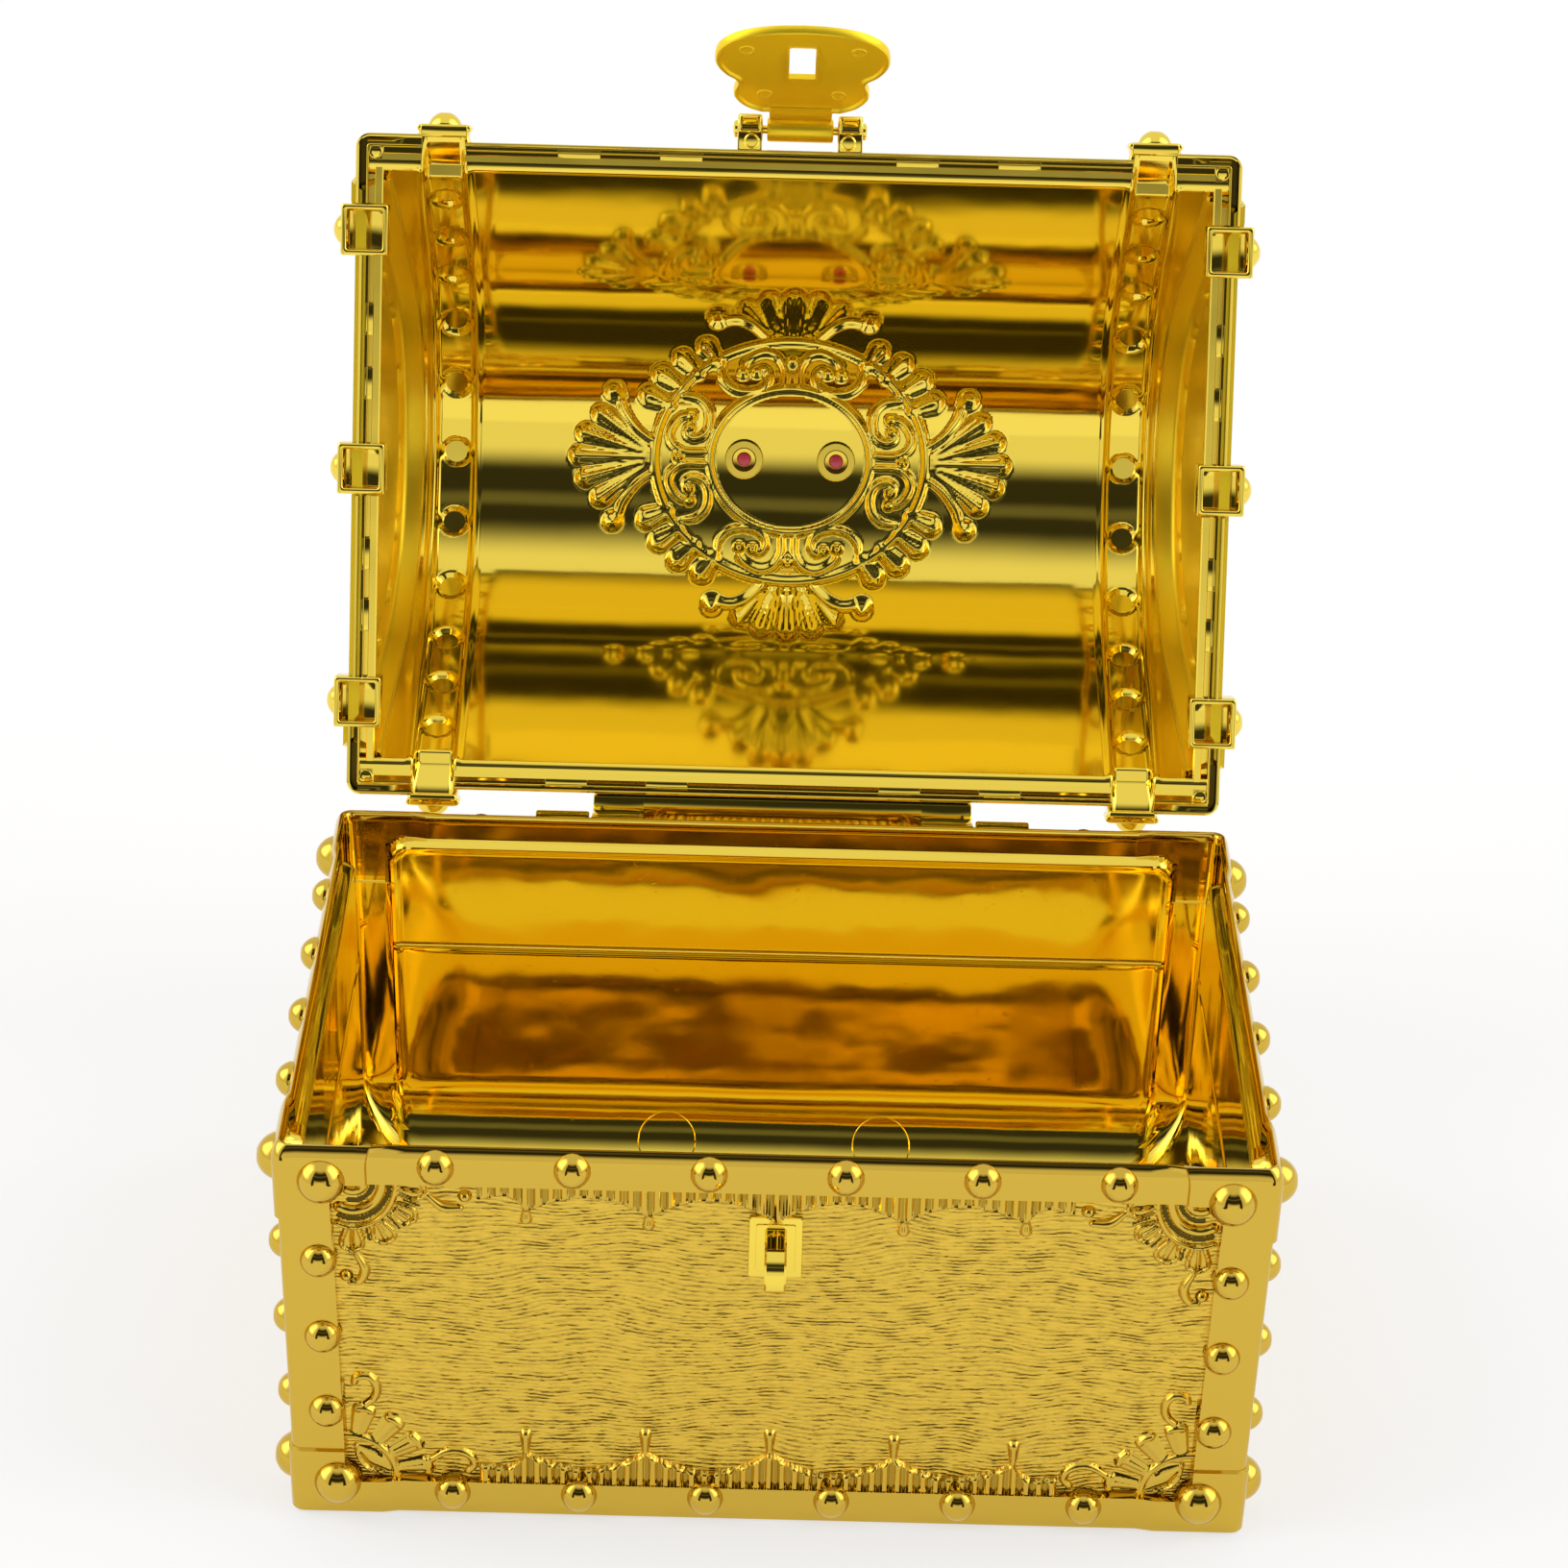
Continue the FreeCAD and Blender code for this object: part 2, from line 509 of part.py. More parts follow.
def lid_straps():
    """Two straps over the lid, with studs, and the hollow channels behind them."""
    bodies, channels = [], []
    rim_top = f"{LID_BOTTOM} + sizes.lid_rim"
    channel = "(sizes.strap_width - sizes.wall)"
    for side, word in ((-1, "left"), (1, "right")):
        outer, inner = strap_span(side, "sizes.strap_width"), strap_span(side, channel)
        bodies.append(arch_block(f"strap_{word}", outer, "sizes.strap_proud", LID_BOTTOM))
        bodies.append(rim_block(f"strap_foot_{word}", outer, "sizes.strap_proud", (LID_BOTTOM, rim_top)))
        channels.append(arch_block(f"channel_{word}", inner, "sizes.strap_proud - sizes.wall",
                                   f"({LID_BOTTOM} - {PAST})"))
        channels.append(rim_block(f"channel_foot_{word}", inner, "sizes.strap_proud - sizes.wall",
                                  (f"{LID_BOTTOM} - {PAST}", f"{rim_top} - sizes.wall")))
        centre = f"({side} * sizes.strap_place)"
        for i in range(-STRAP_STUDS_EACH_WAY, STRAP_STUDS_EACH_WAY + 1):
            y, z = on_arch(f"sizes.strap_proud - {STUD_SINK}", i, "sizes.strap_stud_pitch")
            bodies.append(ball(f"strap_stud_{word}_{i}", STUD_RADIUS, centre, y, z))
            channels.append(ball(f"strap_dimple_{word}_{i}", "sizes.dimple_radius", centre, y, z))
        for end in (-1, 1):
            y = f"({end} * (sizes.chest_depth / 2 + sizes.strap_proud - {STUD_SINK}))"
            bodies.append(ball(f"strap_foot_stud_{word}_{end}", STUD_RADIUS, centre, y,
                               f"({LID_BOTTOM} + sizes.lid_rim / 2)"))
    return bodies, channels


def medallion_outline(name, shrink, z_span):
    """The oval and the four shells of the medallion, as upright blocks drawn in by a margin."""
    blocks = []
    fans = (("oval", "ring_width", "ring_depth", 0, 0),
            ("left_fan", "side_fan_width", "side_fan_depth", -1, 0),
            ("right_fan", "side_fan_width", "side_fan_depth", 1, 0),
            ("front_fan", "cross_fan_width", "cross_fan_depth", 0, -1),
            ("back_fan", "cross_fan_width", "cross_fan_depth", 0, 1))
    for word, width, depth, x_side, y_side in fans:
        x = f"({x_side} * (sizes.ring_width / 2 + sizes.{width} / 2 - sizes.fan_overlap))"
        y = f"({y_side} * (sizes.ring_depth / 2 + sizes.{depth} / 2 - sizes.fan_overlap))"
        blocks.append(oval(f"{name}_{word}", width, depth, shrink, x, y, z_span))
    return fuse(name, blocks)


def jewel_pegs(name, radius, low):
    top = f"({LID_TOP} + sizes.medallion_proud + sizes.jewel_seat)"
    return [rod_z(f"{name}_{side}", radius, f"{side} * sizes.peg_spacing / 2", "0", (low, top))
            for side in (-1, 1)]


SEAT_TOP = f"({LID_TOP} + sizes.medallion_proud + sizes.jewel_seat)"
PEG_LOW = f"({LID_TOP} - sizes.wall - sizes.boss_height)"
OPEN = "sizes.lid_open"


def turned_back(item):
    """Turns a closed piece of the lid back about the hinge to the open angle."""
    item.Placement.Rotation = FreeCAD.Rotation(X_AXIS, -sheet.get("lid_open"))
    bind(item, Placement__Rotation__Angle=f"-{OPEN}")
    return place(item, "0", f"{HINGE_Y} - ({HINGE_Y} * cos({OPEN}) + {HINGE_Z} * sin({OPEN}))",
                 f"{HINGE_Z} - ({HINGE_Z} * cos({OPEN}) - {HINGE_Y} * sin({OPEN}))")


def lid_hinge():
    """Knuckles behind the lid, the arms that carry them and the rail between them."""
    parts, holes = [], []
    rim_top = f"{LID_BOTTOM} + sizes.lid_rim"
    lid_back = "(sizes.chest_depth / 2 - sizes.wall / 2)"
    knuckle_front = f"({HINGE_Y} - sizes.knuckle_radius)"
    knuckle_back = f"({HINGE_Y} + sizes.knuckle_radius)"
    for side, word in ((-1, "left"), (1, "right")):
        span = hinge_side(side)[1]
        parts.append(rod_x(f"knuckle_{word}", "sizes.knuckle_radius", span, HINGE_Y, HINGE_Z))
        parts.append(box(f"knuckle_arm_{word}", span, (knuckle_front, knuckle_back), (HINGE_Z, rim_top)))
        parts.append(box(f"knuckle_root_{word}", span, (lid_back, knuckle_front), (LID_BOTTOM, rim_top)))
        holes.append(rod_x(f"knuckle_hole_{word}", "(sizes.hinge_pin_diameter / 2 + sizes.running_fit)",
                           span, HINGE_Y, HINGE_Z))
    rail_span = (hinge_side(-1)[1][1], hinge_side(1)[1][0])
    rail = box("hinge_rail", rail_span, (lid_back, "(sizes.chest_depth / 2 + sizes.hinge_rail_depth)"),
               (LID_BOTTOM, rim_top))
    return parts + [rail], holes


def lug_span(side):
    near, far = "(sizes.lug_gap / 2)", "(sizes.lug_gap / 2 + sizes.lug_width)"
    return (near, far) if side > 0 else (f"-{far}", f"-{near}")


def hasp_lugs():
    parts, holes = [], []
    lid_front = "(-sizes.chest_depth / 2 + sizes.wall / 2)"
    level = (f"{PIN_Z} - sizes.lug_radius", f"{PIN_Z} + sizes.lug_radius")
    for side, word in ((-1, "left"), (1, "right")):
        parts.append(rod_x(f"lug_round_{word}", "sizes.lug_radius", lug_span(side), PIN_Y, PIN_Z))
        parts.append(box(f"lug_web_{word}", lug_span(side), (PIN_Y, lid_front), level))
        holes.append(rod_x(f"lug_hole_{word}", "sizes.hasp_pin_diameter / 2", lug_span(side), PIN_Y, PIN_Z))
    return parts, holes


def lid_barrel():
    """The arched lid moulding: rim, straps, medallion, hinge knuckles and hasp lugs, open at both ends."""
    inner_ends = lid_wedge("barrel_ends", "sizes.end_wall")
    block = common("barrel_block", [lid_solid("barrel_solid"), inner_ends])
    straps, channels = lid_straps()
    shoulder = f"({LID_BOTTOM} + sizes.lid_rim)"
    crown = arch_block("relief_crown", ALL_X, "sizes.medallion_proud", shoulder)
    relief = common("relief", [medallion_outline("relief_outline", "0", (shoulder, ABOVE_LID)), crown])
    seat = rod_z("jewel_seat_disc", "sizes.jewel_diameter / 2", "0", "0", (f"{LID_TOP} - {PAST}", SEAT_TOP))
    outside = fuse("barrel_outside", [block, relief, seat] + straps)
    hollow_arch = arch_block("hollow_arch", ALL_X, "-sizes.wall", f"({LID_BOTTOM} - {PAST})")
    hollow_rim = rim_block("hollow_rim", ALL_X, "-sizes.wall",
                           (f"{LID_BOTTOM} - {PAST}", f"{LID_BOTTOM} + sizes.lid_rim - sizes.wall"))
    sunk_crown = arch_block("sunk_crown", ALL_X, "sizes.medallion_proud - sizes.wall", shoulder)
    sunk_outline = medallion_outline("sunk_outline", "sizes.medallion_wall", (shoulder, ABOVE_LID))
    sunk = common("sunk_relief", [sunk_outline, sunk_crown])
    shell = cut("barrel_shell", outside, fuse("barrel_hollow", [hollow_arch, hollow_rim, sunk] + channels))
    bosses = [rod_z(f"boss_{side}", "sizes.boss_diameter / 2", f"{side} * sizes.peg_spacing / 2", "0",
                    (PEG_LOW, f"{LID_TOP}")) for side in (-1, 1)]
    hinge_parts, hinge_holes = lid_hinge()
    lugs, lug_holes = hasp_lugs()
    peg_holes = jewel_pegs("peg_hole", "sizes.peg_diameter / 2", PEG_LOW)
    whole = cut("lid_barrel", fuse("barrel_fitted", [shell] + bosses + hinge_parts + lugs),
                fuse("barrel_holes", hinge_holes + lug_holes + peg_holes))
    return finished(turned_back(whole), "lid_barrel")


def end_lip(name, side):
    """Lip behind the rim of an end panel, and the web that carries it: a channel open downwards."""
    inner = "(sizes.chest_width / 2 - sizes.end_lip_inset)"
    along = mirrored_span("(sizes.chest_depth / 2 - sizes.wall - sizes.end_flange_fit)")
    top = f"({LID_BOTTOM} + sizes.lid_rim - sizes.wall - sizes.end_flange_fit)"
    plate = lid_half_width("sizes.lid_rim / 2", "sizes.end_wall / 2")
    lip_x = (inner, f"({inner} + sizes.end_lip_wall)")
    web_x = (inner, plate)
    if side < 0:
        lip_x = (f"-{lip_x[1]}", f"-{lip_x[0]}")
        web_x = (f"-{web_x[1]}", f"-{web_x[0]}")
    return [box(f"{name}_lip", lip_x, along, (LID_BOTTOM, top)),
            box(f"{name}_lip_web", web_x, along, (f"{top} - sizes.end_lip_wall", top))]


def lid_end(side, word):
    """One leaning end panel: plate with a studded band, three clasps and a flange in the barrel."""
    name = f"end_{word}"
    half_room = box(f"{name}_side", ("0", REACH_ALL) if side > 0 else (f"-{REACH_ALL}", "0"),
                    mirrored_span(REACH_ALL), (LID_BOTTOM, ABOVE_LID))
    inside = lid_wedge(f"{name}_inside", "sizes.end_wall")
    plate = common(f"{name}_plate", [lid_solid(f"{name}_solid"), lid_wedge(f"{name}_outside", "0")])
    rim_top = f"({LID_BOTTOM} + sizes.lid_rim)"
    band_ring = cut(f"{name}_band_ring", lid_solid(f"{name}_band_solid"),
                    arch_block(f"{name}_band_inner", ALL_X, "-sizes.arch_band", rim_top))
    band = common(f"{name}_band", [band_ring, lid_wedge(f"{name}_band_outside", "-sizes.arch_band_proud")])
    parts = [plate, band]
    clasp_face = "(sizes.chest_width / 2 + sizes.clasp_proud)"
    for i in (-1, 0, 1):
        middle = f"({i} * sizes.clasp_spread)"
        span = (f"{middle} - sizes.clasp_width / 2", f"{middle} + sizes.clasp_width / 2")
        parts.append(box(f"{name}_clasp_{i}", mirrored_span(clasp_face), span, (LID_BOTTOM, rim_top)))
        parts.append(ball(f"{name}_clasp_stud_{i}", STUD_RADIUS, f"{side} * ({clasp_face} - {STUD_SINK})",
                          middle, f"({LID_BOTTOM} + sizes.lid_rim / 2)"))
    for i in range(-ARCH_STUDS_EACH_WAY, ARCH_STUDS_EACH_WAY + 1):
        y, z = on_arch("-sizes.arch_band / 2", i, "sizes.arch_stud_pitch")
        face = lid_half_width(f"{z} - {LID_BOTTOM}", f"{STUD_SINK} - sizes.arch_band_proud")
        parts.append(ball(f"{name}_arch_stud_{i}", STUD_RADIUS, f"{side} * {face}", y, z))
    panel = cut(f"{name}_panel", common(f"{name}_half", [fuse(f"{name}_raised", parts), half_room]), inside)
    flange_grow = "-sizes.wall - sizes.end_flange_fit"
    flange_inner = f"{flange_grow} - sizes.end_flange_wall"
    flange_ring = cut(f"{name}_flange_ring", arch_block(f"{name}_flange_out", ALL_X, flange_grow, rim_top),
                      arch_block(f"{name}_flange_in", ALL_X, flange_inner, LID_BOTTOM))
    flange_room = cut(f"{name}_flange_room", common(f"{name}_flange_side", [inside, half_room]),
                      lid_wedge(f"{name}_flange_end", "sizes.end_wall + sizes.end_flange_length"))
    flange = common(f"{name}_flange", [flange_ring, flange_room])
    lip = end_lip(name, side)
    return finished(turned_back(fuse(f"lid_end_{word}", [panel, flange] + lip)), f"lid_end_{word}")


def lid_jewel():
    """Red cabochon with two pegs through the crown of the lid."""
    radius = "((sizes.jewel_diameter ^ 2 / 4 + sizes.jewel_height ^ 2) / (2 * sizes.jewel_height))"
    dome = ball("jewel_ball", radius, "0", "0", f"{SEAT_TOP} + sizes.jewel_height - {radius}")
    room = box("jewel_room", ALL_X, mirrored_span(REACH_ALL), (SEAT_TOP, ABOVE_LID))
    cabochon = common("cabochon", [dome, room])
    pegs = jewel_pegs("jewel_peg", "sizes.peg_diameter / 2", PEG_LOW)
    return finished(turned_back(fuse("lid_jewel", [cabochon] + pegs)), "lid_jewel")


def hasp_pin():
    """Steel pin through both lugs, with a thin rivet head at each end."""
    near, far = lug_span(-1)[0], lug_span(1)[1]
    head = "sizes.hasp_pin_diameter / 2"
    rod = rod_x("hasp_pin_rod", "sizes.hasp_pin_diameter / 2", (near, far), PIN_Y, PIN_Z)
    heads = [rod_x("hasp_pin_head_left", "sizes.hasp_pin_diameter", (f"{near} - {head}", near), PIN_Y, PIN_Z),
             rod_x("hasp_pin_head_right", "sizes.hasp_pin_diameter", (far, f"{far} + {head}"), PIN_Y, PIN_Z)]
    return finished(turned_back(fuse("hasp_pin", [rod] + heads)), "hasp_pin")


def hasp_lobe(name, width, height, middle):
    """Upright oval of the hasp plate: width along X, height along Z, through the plate's thickness."""
    line = doc.addObject("Part::Ellipse", name + "_line")
    bind(line, MajorRadius=f"sizes.{width} / 2", MinorRadius=f"sizes.{height} / 2")
    line.Placement.Rotation = UPRIGHT
    place(line, "0", f"{PLATE_Y} - sizes.hasp_thickness / 2", middle)
    item = doc.addObject("Part::Extrusion", name)
    item.Base = line
    item.DirMode = "Custom"
    item.Dir = Y_AXIS
    item.Solid = True
    return bind(item, LengthFwd="sizes.hasp_thickness")


def hasp_plate():
    """The hasp: rolled end on the pin, neck, and a two-lobed plate with the slot for the staple."""
    plate_span = (f"{PLATE_Y} - sizes.hasp_thickness / 2", f"{PLATE_Y} + sizes.hasp_thickness / 2")
    barrel_span = mirrored_span("sizes.hasp_barrel_width / 2")
    barrel = rod_x("hasp_barrel", "sizes.hasp_barrel_radius", barrel_span, PIN_Y, PIN_Z)
    small_middle = f"({PIN_Z} - sizes.hasp_small_lobe_drop)"
    big_middle = f"({PIN_Z} - sizes.hasp_length + sizes.hasp_big_lobe_height / 2)"
    neck = box("hasp_neck_plate", mirrored_span("sizes.hasp_neck / 2"), plate_span, (big_middle, PIN_Z))
    parts = [barrel, neck, hasp_lobe("small_lobe", "hasp_small_lobe", "hasp_small_lobe_height", small_middle),
             hasp_lobe("big_lobe", "hasp_big_lobe", "hasp_big_lobe_height", big_middle)]
    slot = box("hasp_slot", mirrored_span("sizes.slot_width / 2"),
               (f"{plate_span[0]} - {PAST}", f"{plate_span[1]} + {PAST}"),
               (f"{STAPLE_Z} - sizes.slot_height / 2", f"{STAPLE_Z} + sizes.slot_height / 2"))
    bore = rod_x("hasp_bore", "(sizes.hasp_pin_diameter / 2 + sizes.running_fit)", barrel_span, PIN_Y, PIN_Z)
    plate = cut("hasp_plate", fuse("hasp_body", parts), fuse("hasp_cuts", [slot, bore]))
    turn = f"({OPEN} + sizes.hasp_out)"
    pin_open_y = f"({HINGE_Y} + ({PIN_Y} - {HINGE_Y}) * cos({OPEN}) + ({PIN_Z} - {HINGE_Z}) * sin({OPEN}))"
    pin_open_z = f"({HINGE_Z} - ({PIN_Y} - {HINGE_Y}) * sin({OPEN}) + ({PIN_Z} - {HINGE_Z}) * cos({OPEN}))"
    plate.Placement.Rotation = FreeCAD.Rotation(X_AXIS, -sheet.get("lid_open") - sheet.get("hasp_out"))
    bind(plate, Placement__Rotation__Angle=f"-{turn}")
    place(plate, "0", f"{pin_open_y} - ({PIN_Y} * cos({turn}) + {PIN_Z} * sin({turn}))",
          f"{pin_open_z} - ({PIN_Z} * cos({turn}) - {PIN_Y} * sin({turn}))")
    return finished(plate, "hasp_plate")


sub_parts = [base_tub(), hasp_staple(), hinge_pin(-1, "left"), hinge_pin(1, "right"), lid_barrel(),
             lid_end(-1, "left"), lid_end(1, "right"), lid_jewel(), hasp_pin(), hasp_plate()]
doc.recompute()

for item in doc.Objects:
    if "Invalid" in item.State or "Error" in item.State:
        raise RuntimeError(f"{item.Label} failed: {item.State}")
os.makedirs("parts", exist_ok=True)
for item in sub_parts:
    if item.Shape.isNull() or not item.Shape.isValid():
        raise RuntimeError(f"{item.Label} has no valid shape")
for item in sub_parts:
    item.Shape.exportStep(f"parts/{item.Label}.step")
    size = item.Shape.BoundBox
    print(f"{item.Label}: {len(item.Shape.Solids)} solid, volume {item.Shape.Volume:.0f},"
          f" {size.XLength:.1f} x {size.YLength:.1f} x {size.ZLength:.1f}")
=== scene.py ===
"""Gilt treasure chest box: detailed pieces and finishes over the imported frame.

The pieces are drawn in millimetres with the lid closed, then turned to the pose at which the frame rests.
Front is -Y, up is +Z, and the origin is at the middle of the foot.
"""
import json
import math
from types import SimpleNamespace

import bmesh
import bpy
import numpy as np
from mathutils import Matrix, Vector


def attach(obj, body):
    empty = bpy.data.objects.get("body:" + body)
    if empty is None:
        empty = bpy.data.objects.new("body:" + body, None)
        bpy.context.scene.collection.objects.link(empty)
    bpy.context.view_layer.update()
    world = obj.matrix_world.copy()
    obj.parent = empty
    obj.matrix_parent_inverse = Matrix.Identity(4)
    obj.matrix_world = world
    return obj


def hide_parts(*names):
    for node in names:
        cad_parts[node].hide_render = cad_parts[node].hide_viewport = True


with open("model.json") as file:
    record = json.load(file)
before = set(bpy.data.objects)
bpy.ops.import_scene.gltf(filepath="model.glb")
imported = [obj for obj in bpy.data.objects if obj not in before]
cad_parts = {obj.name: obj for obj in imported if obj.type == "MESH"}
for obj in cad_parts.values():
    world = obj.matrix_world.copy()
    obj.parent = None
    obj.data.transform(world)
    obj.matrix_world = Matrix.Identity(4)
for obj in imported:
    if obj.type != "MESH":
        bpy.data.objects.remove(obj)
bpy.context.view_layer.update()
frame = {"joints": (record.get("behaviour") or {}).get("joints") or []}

bl_info = {
    "name": "Gilt Treasure Chest",
    "version": (1, 0, 0),
    "blender": (4, 5, 0),
    "location": "View3D > Sidebar > Chest",
    "description": "Builds a gilt treasure chest box over its packed frame",
    "category": "Add Mesh",
}

MM = 0.001
JOINTS = {joint["name"]: joint for joint in frame["joints"]}
HINGE = Vector(JOINTS["lid_hinge"]["pos_m"])
LID_SWING = JOINTS["lid_hinge"]["range_deg"][1]
PIN = Vector(JOINTS["hasp_pivot"]["pos_m"])
HASP_SWING = JOINTS["hasp_pivot"]["range_deg"][1]


def turned(point, degrees):
    """Turn about a line along X through a point."""
    spin = Matrix.Rotation(math.radians(degrees), 4, "X")
    return Matrix.Translation(point) @ spin @ Matrix.Translation(-point)


LID_AT_REST = turned(HINGE, -LID_SWING)
HASP_AT_REST = turned(PIN, -HASP_SWING) @ LID_AT_REST
HINGE_Y, HINGE_Z = HINGE.y / MM, HINGE.z / MM
PIN_CLOSED = LID_AT_REST.inverted() @ PIN
PIN_Y, PIN_Z = PIN_CLOSED.y / MM, PIN_CLOSED.z / MM


def length(name, description, millimetres):
    """A size that a user can change."""
    return bpy.props.FloatProperty(name=name, description=description, default=millimetres * MM,
                                   unit="LENGTH", precision=4)


class ChestSizes(bpy.types.PropertyGroup):
    """Sizes of the chest that a user would change."""
    width: length("Width", "Outside width at the rim of the base", 165.0)
    depth: length("Depth", "Outside depth at the rim of the base", 124.0)
    height: length("Base height", "Foot to rim of the base", 72.4)
    taper: length("Taper", "How far each side draws in from rim to foot", 2.2)
    wall: length("Wall", "Wall of the mouldings", 2.0)
    floor: length("Floor", "Thickness of the floor", 2.2)
    cove: length("Cove", "Rounding between floor and walls", 17.5)
    top_band: length("Top band", "Band under the rim", 7.0)
    foot_band: length("Foot band", "Band at the foot", 6.5)
    post: length("Post", "Upright band at a corner", 9.0)
    panel_inset: length("Panel inset", "How far the panels lie behind the bands", 1.5)
    bracket_proud: length("Bracket rise", "How far the corner brackets stand out", 0.6)
    bracket_reach: length("Bracket reach", "Reach of a bracket along a band", 15.0)
    top_bracket: length("Top bracket", "Height of a bracket at the rim", 14.0)
    foot_bracket: length("Foot bracket", "Height of a bracket at the foot", 12.5)
    corner: length("Corner", "Rounding of the upright corners", 1.5)
    stud: length("Stud", "Width of a small stud", 6.2)
    stud_rise: length("Stud rise", "Height of a small stud", 2.5)
    big_stud: length("Corner stud", "Width of a stud on a bracket", 8.0)
    big_stud_rise: length("Corner stud rise", "Height of a stud on a bracket", 3.2)
    rim_gap: length("Rim gap", "Gap between the base and the closed lid", 0.3)
    lid_rim: length("Lid rim", "Height of the lid's upright rim", 7.0)
    lid_height: length("Lid height", "Rim to crown of the lid", 55.0)
    crown: length("Crown", "Radius of the lid's round crown, outside", 44.5)
    slope: bpy.props.FloatProperty(name="Slope", description="Angle of the arch's straight sides to the rim",
                                   default=math.radians(59.0), subtype="ANGLE")
    lean: length("Lean", "How far each end of the lid leans in", 4.2)
    end_wall: length("End wall", "Thickness of an end panel", 2.0)
    flange_inset: length("Flange inset", "End of the lid to the edge of the end panel's flange", 6.0)
    strap_place: length("Strap place", "Middle of the lid to the middle of a strap", 66.2)
    strap: length("Strap", "Width of a strap", 9.0)
    strap_proud: length("Strap rise", "How far a strap stands out", 1.3)
    jewel: length("Jewel", "Width of the red stone", 25.0)
    jewel_rise: length("Jewel rise", "Height of the red stone", 5.0)


def tint(name, description, value):
    """A colour that a user can change."""
    return bpy.props.FloatVectorProperty(name=name, description=description, subtype="COLOR", default=value,
                                         min=0, max=1)


class ChestColours(bpy.types.PropertyGroup):
    """Colours of the chest and its stage."""
    gold: tint("Gold", "Bright gold plating", (0.92, 0.69, 0.09))
    # Satin lit gold: the satin roughness is real; the lighter colour is painted light on the hasp and the
    # inside of the lid ends
    satin_lit_gold: tint("Satin gold", "Hasp and inside of the lid ends", (1.0, 0.7, 0.02))
    # Shaded gold: the same plating painted darker, as painted shade, for the outside of the base and the
    # grained outside of the lid
    shaded_gold: tint("Deep gold", "Gold plating outside the base, and the grain of the lid", (0.66, 0.44, 0.058))
    jewel: tint("Jewel", "Red stone", (0.8, 0.05, 0.1))
    steel: tint("Steel", "Pins", (0.6, 0.58, 0.55))
    ground: tint("Floor", "Pale floor", (0.94, 0.94, 0.94))


def chest(context):
    """The sizes in millimetres, with the places that several pieces share."""
    group = context.scene.chest_sizes
    s = SimpleNamespace(**{name: getattr(group, name) / MM for name in ChestSizes.__annotations__})
    s.slope = group.slope
    s.half_width, s.half_depth = s.width / 2, s.depth / 2
    s.lid_low = s.height + s.rim_gap
    s.lid_top = s.lid_low + s.lid_height
    s.rim_top = s.lid_low + s.lid_rim
    s.crown_centre = s.lid_top - s.crown
    return s


def drawn_in(s, z):
    """How far the tapered base draws in at a height."""
    return s.taper * (1 - z / s.height)


def end_place(s, z, inset=0.0):
    """Distance from the middle to the leaning end of the lid at a height."""
    return s.half_width - s.lean * (z - s.lid_low) / s.lid_height - inset


def on_arch(s, run, grow):
    """Y and Z of places along the arch of the lid: a run from its crown, grown outwards."""
    run, grow = np.asarray(run, float), np.asarray(grow, float)
    turn = np.minimum(np.abs(run) / s.crown, s.slope)
    past = np.maximum(np.abs(run) - s.crown * s.slope, 0)
    y = (s.crown + grow) * np.sin(turn) + past * math.cos(s.slope)
    z = s.crown_centre + (s.crown + grow) * np.cos(turn) - past * math.sin(s.slope)
    return np.sign(run) * y, z


def run_down_to(s, z, grow):
    """Run at which a side of the arch comes down to a height."""
    meet = s.crown_centre + (s.crown + grow) * math.cos(s.slope)
    return s.crown * s.slope + (meet - z) / math.sin(s.slope)


def inside_arch(s, y, z):
    """How far places lie in from the outside of the arch."""
    up = z - s.crown_centre
    side = np.abs(y) * math.sin(s.slope) + up * math.cos(s.slope)
    return s.crown - np.where(np.arctan2(np.abs(y), up) < s.slope, np.hypot(y, up), side)


def arch_way(s, run):
    """Outward direction of the arch at a run from its crown."""
    turn = math.copysign(min(abs(run) / s.crown, s.slope), run)
    return 0, math.sin(turn), math.cos(turn)


# Stock: points and faces of a piece, gathered before its mesh is made.

def grid_faces(index):
    """Four-sided faces of a grid of point numbers."""
    corners = (index[:-1, :-1], index[:-1, 1:], index[1:, 1:], index[1:, :-1])
    return np.stack(corners, axis=-1).reshape(-1, 4).tolist()


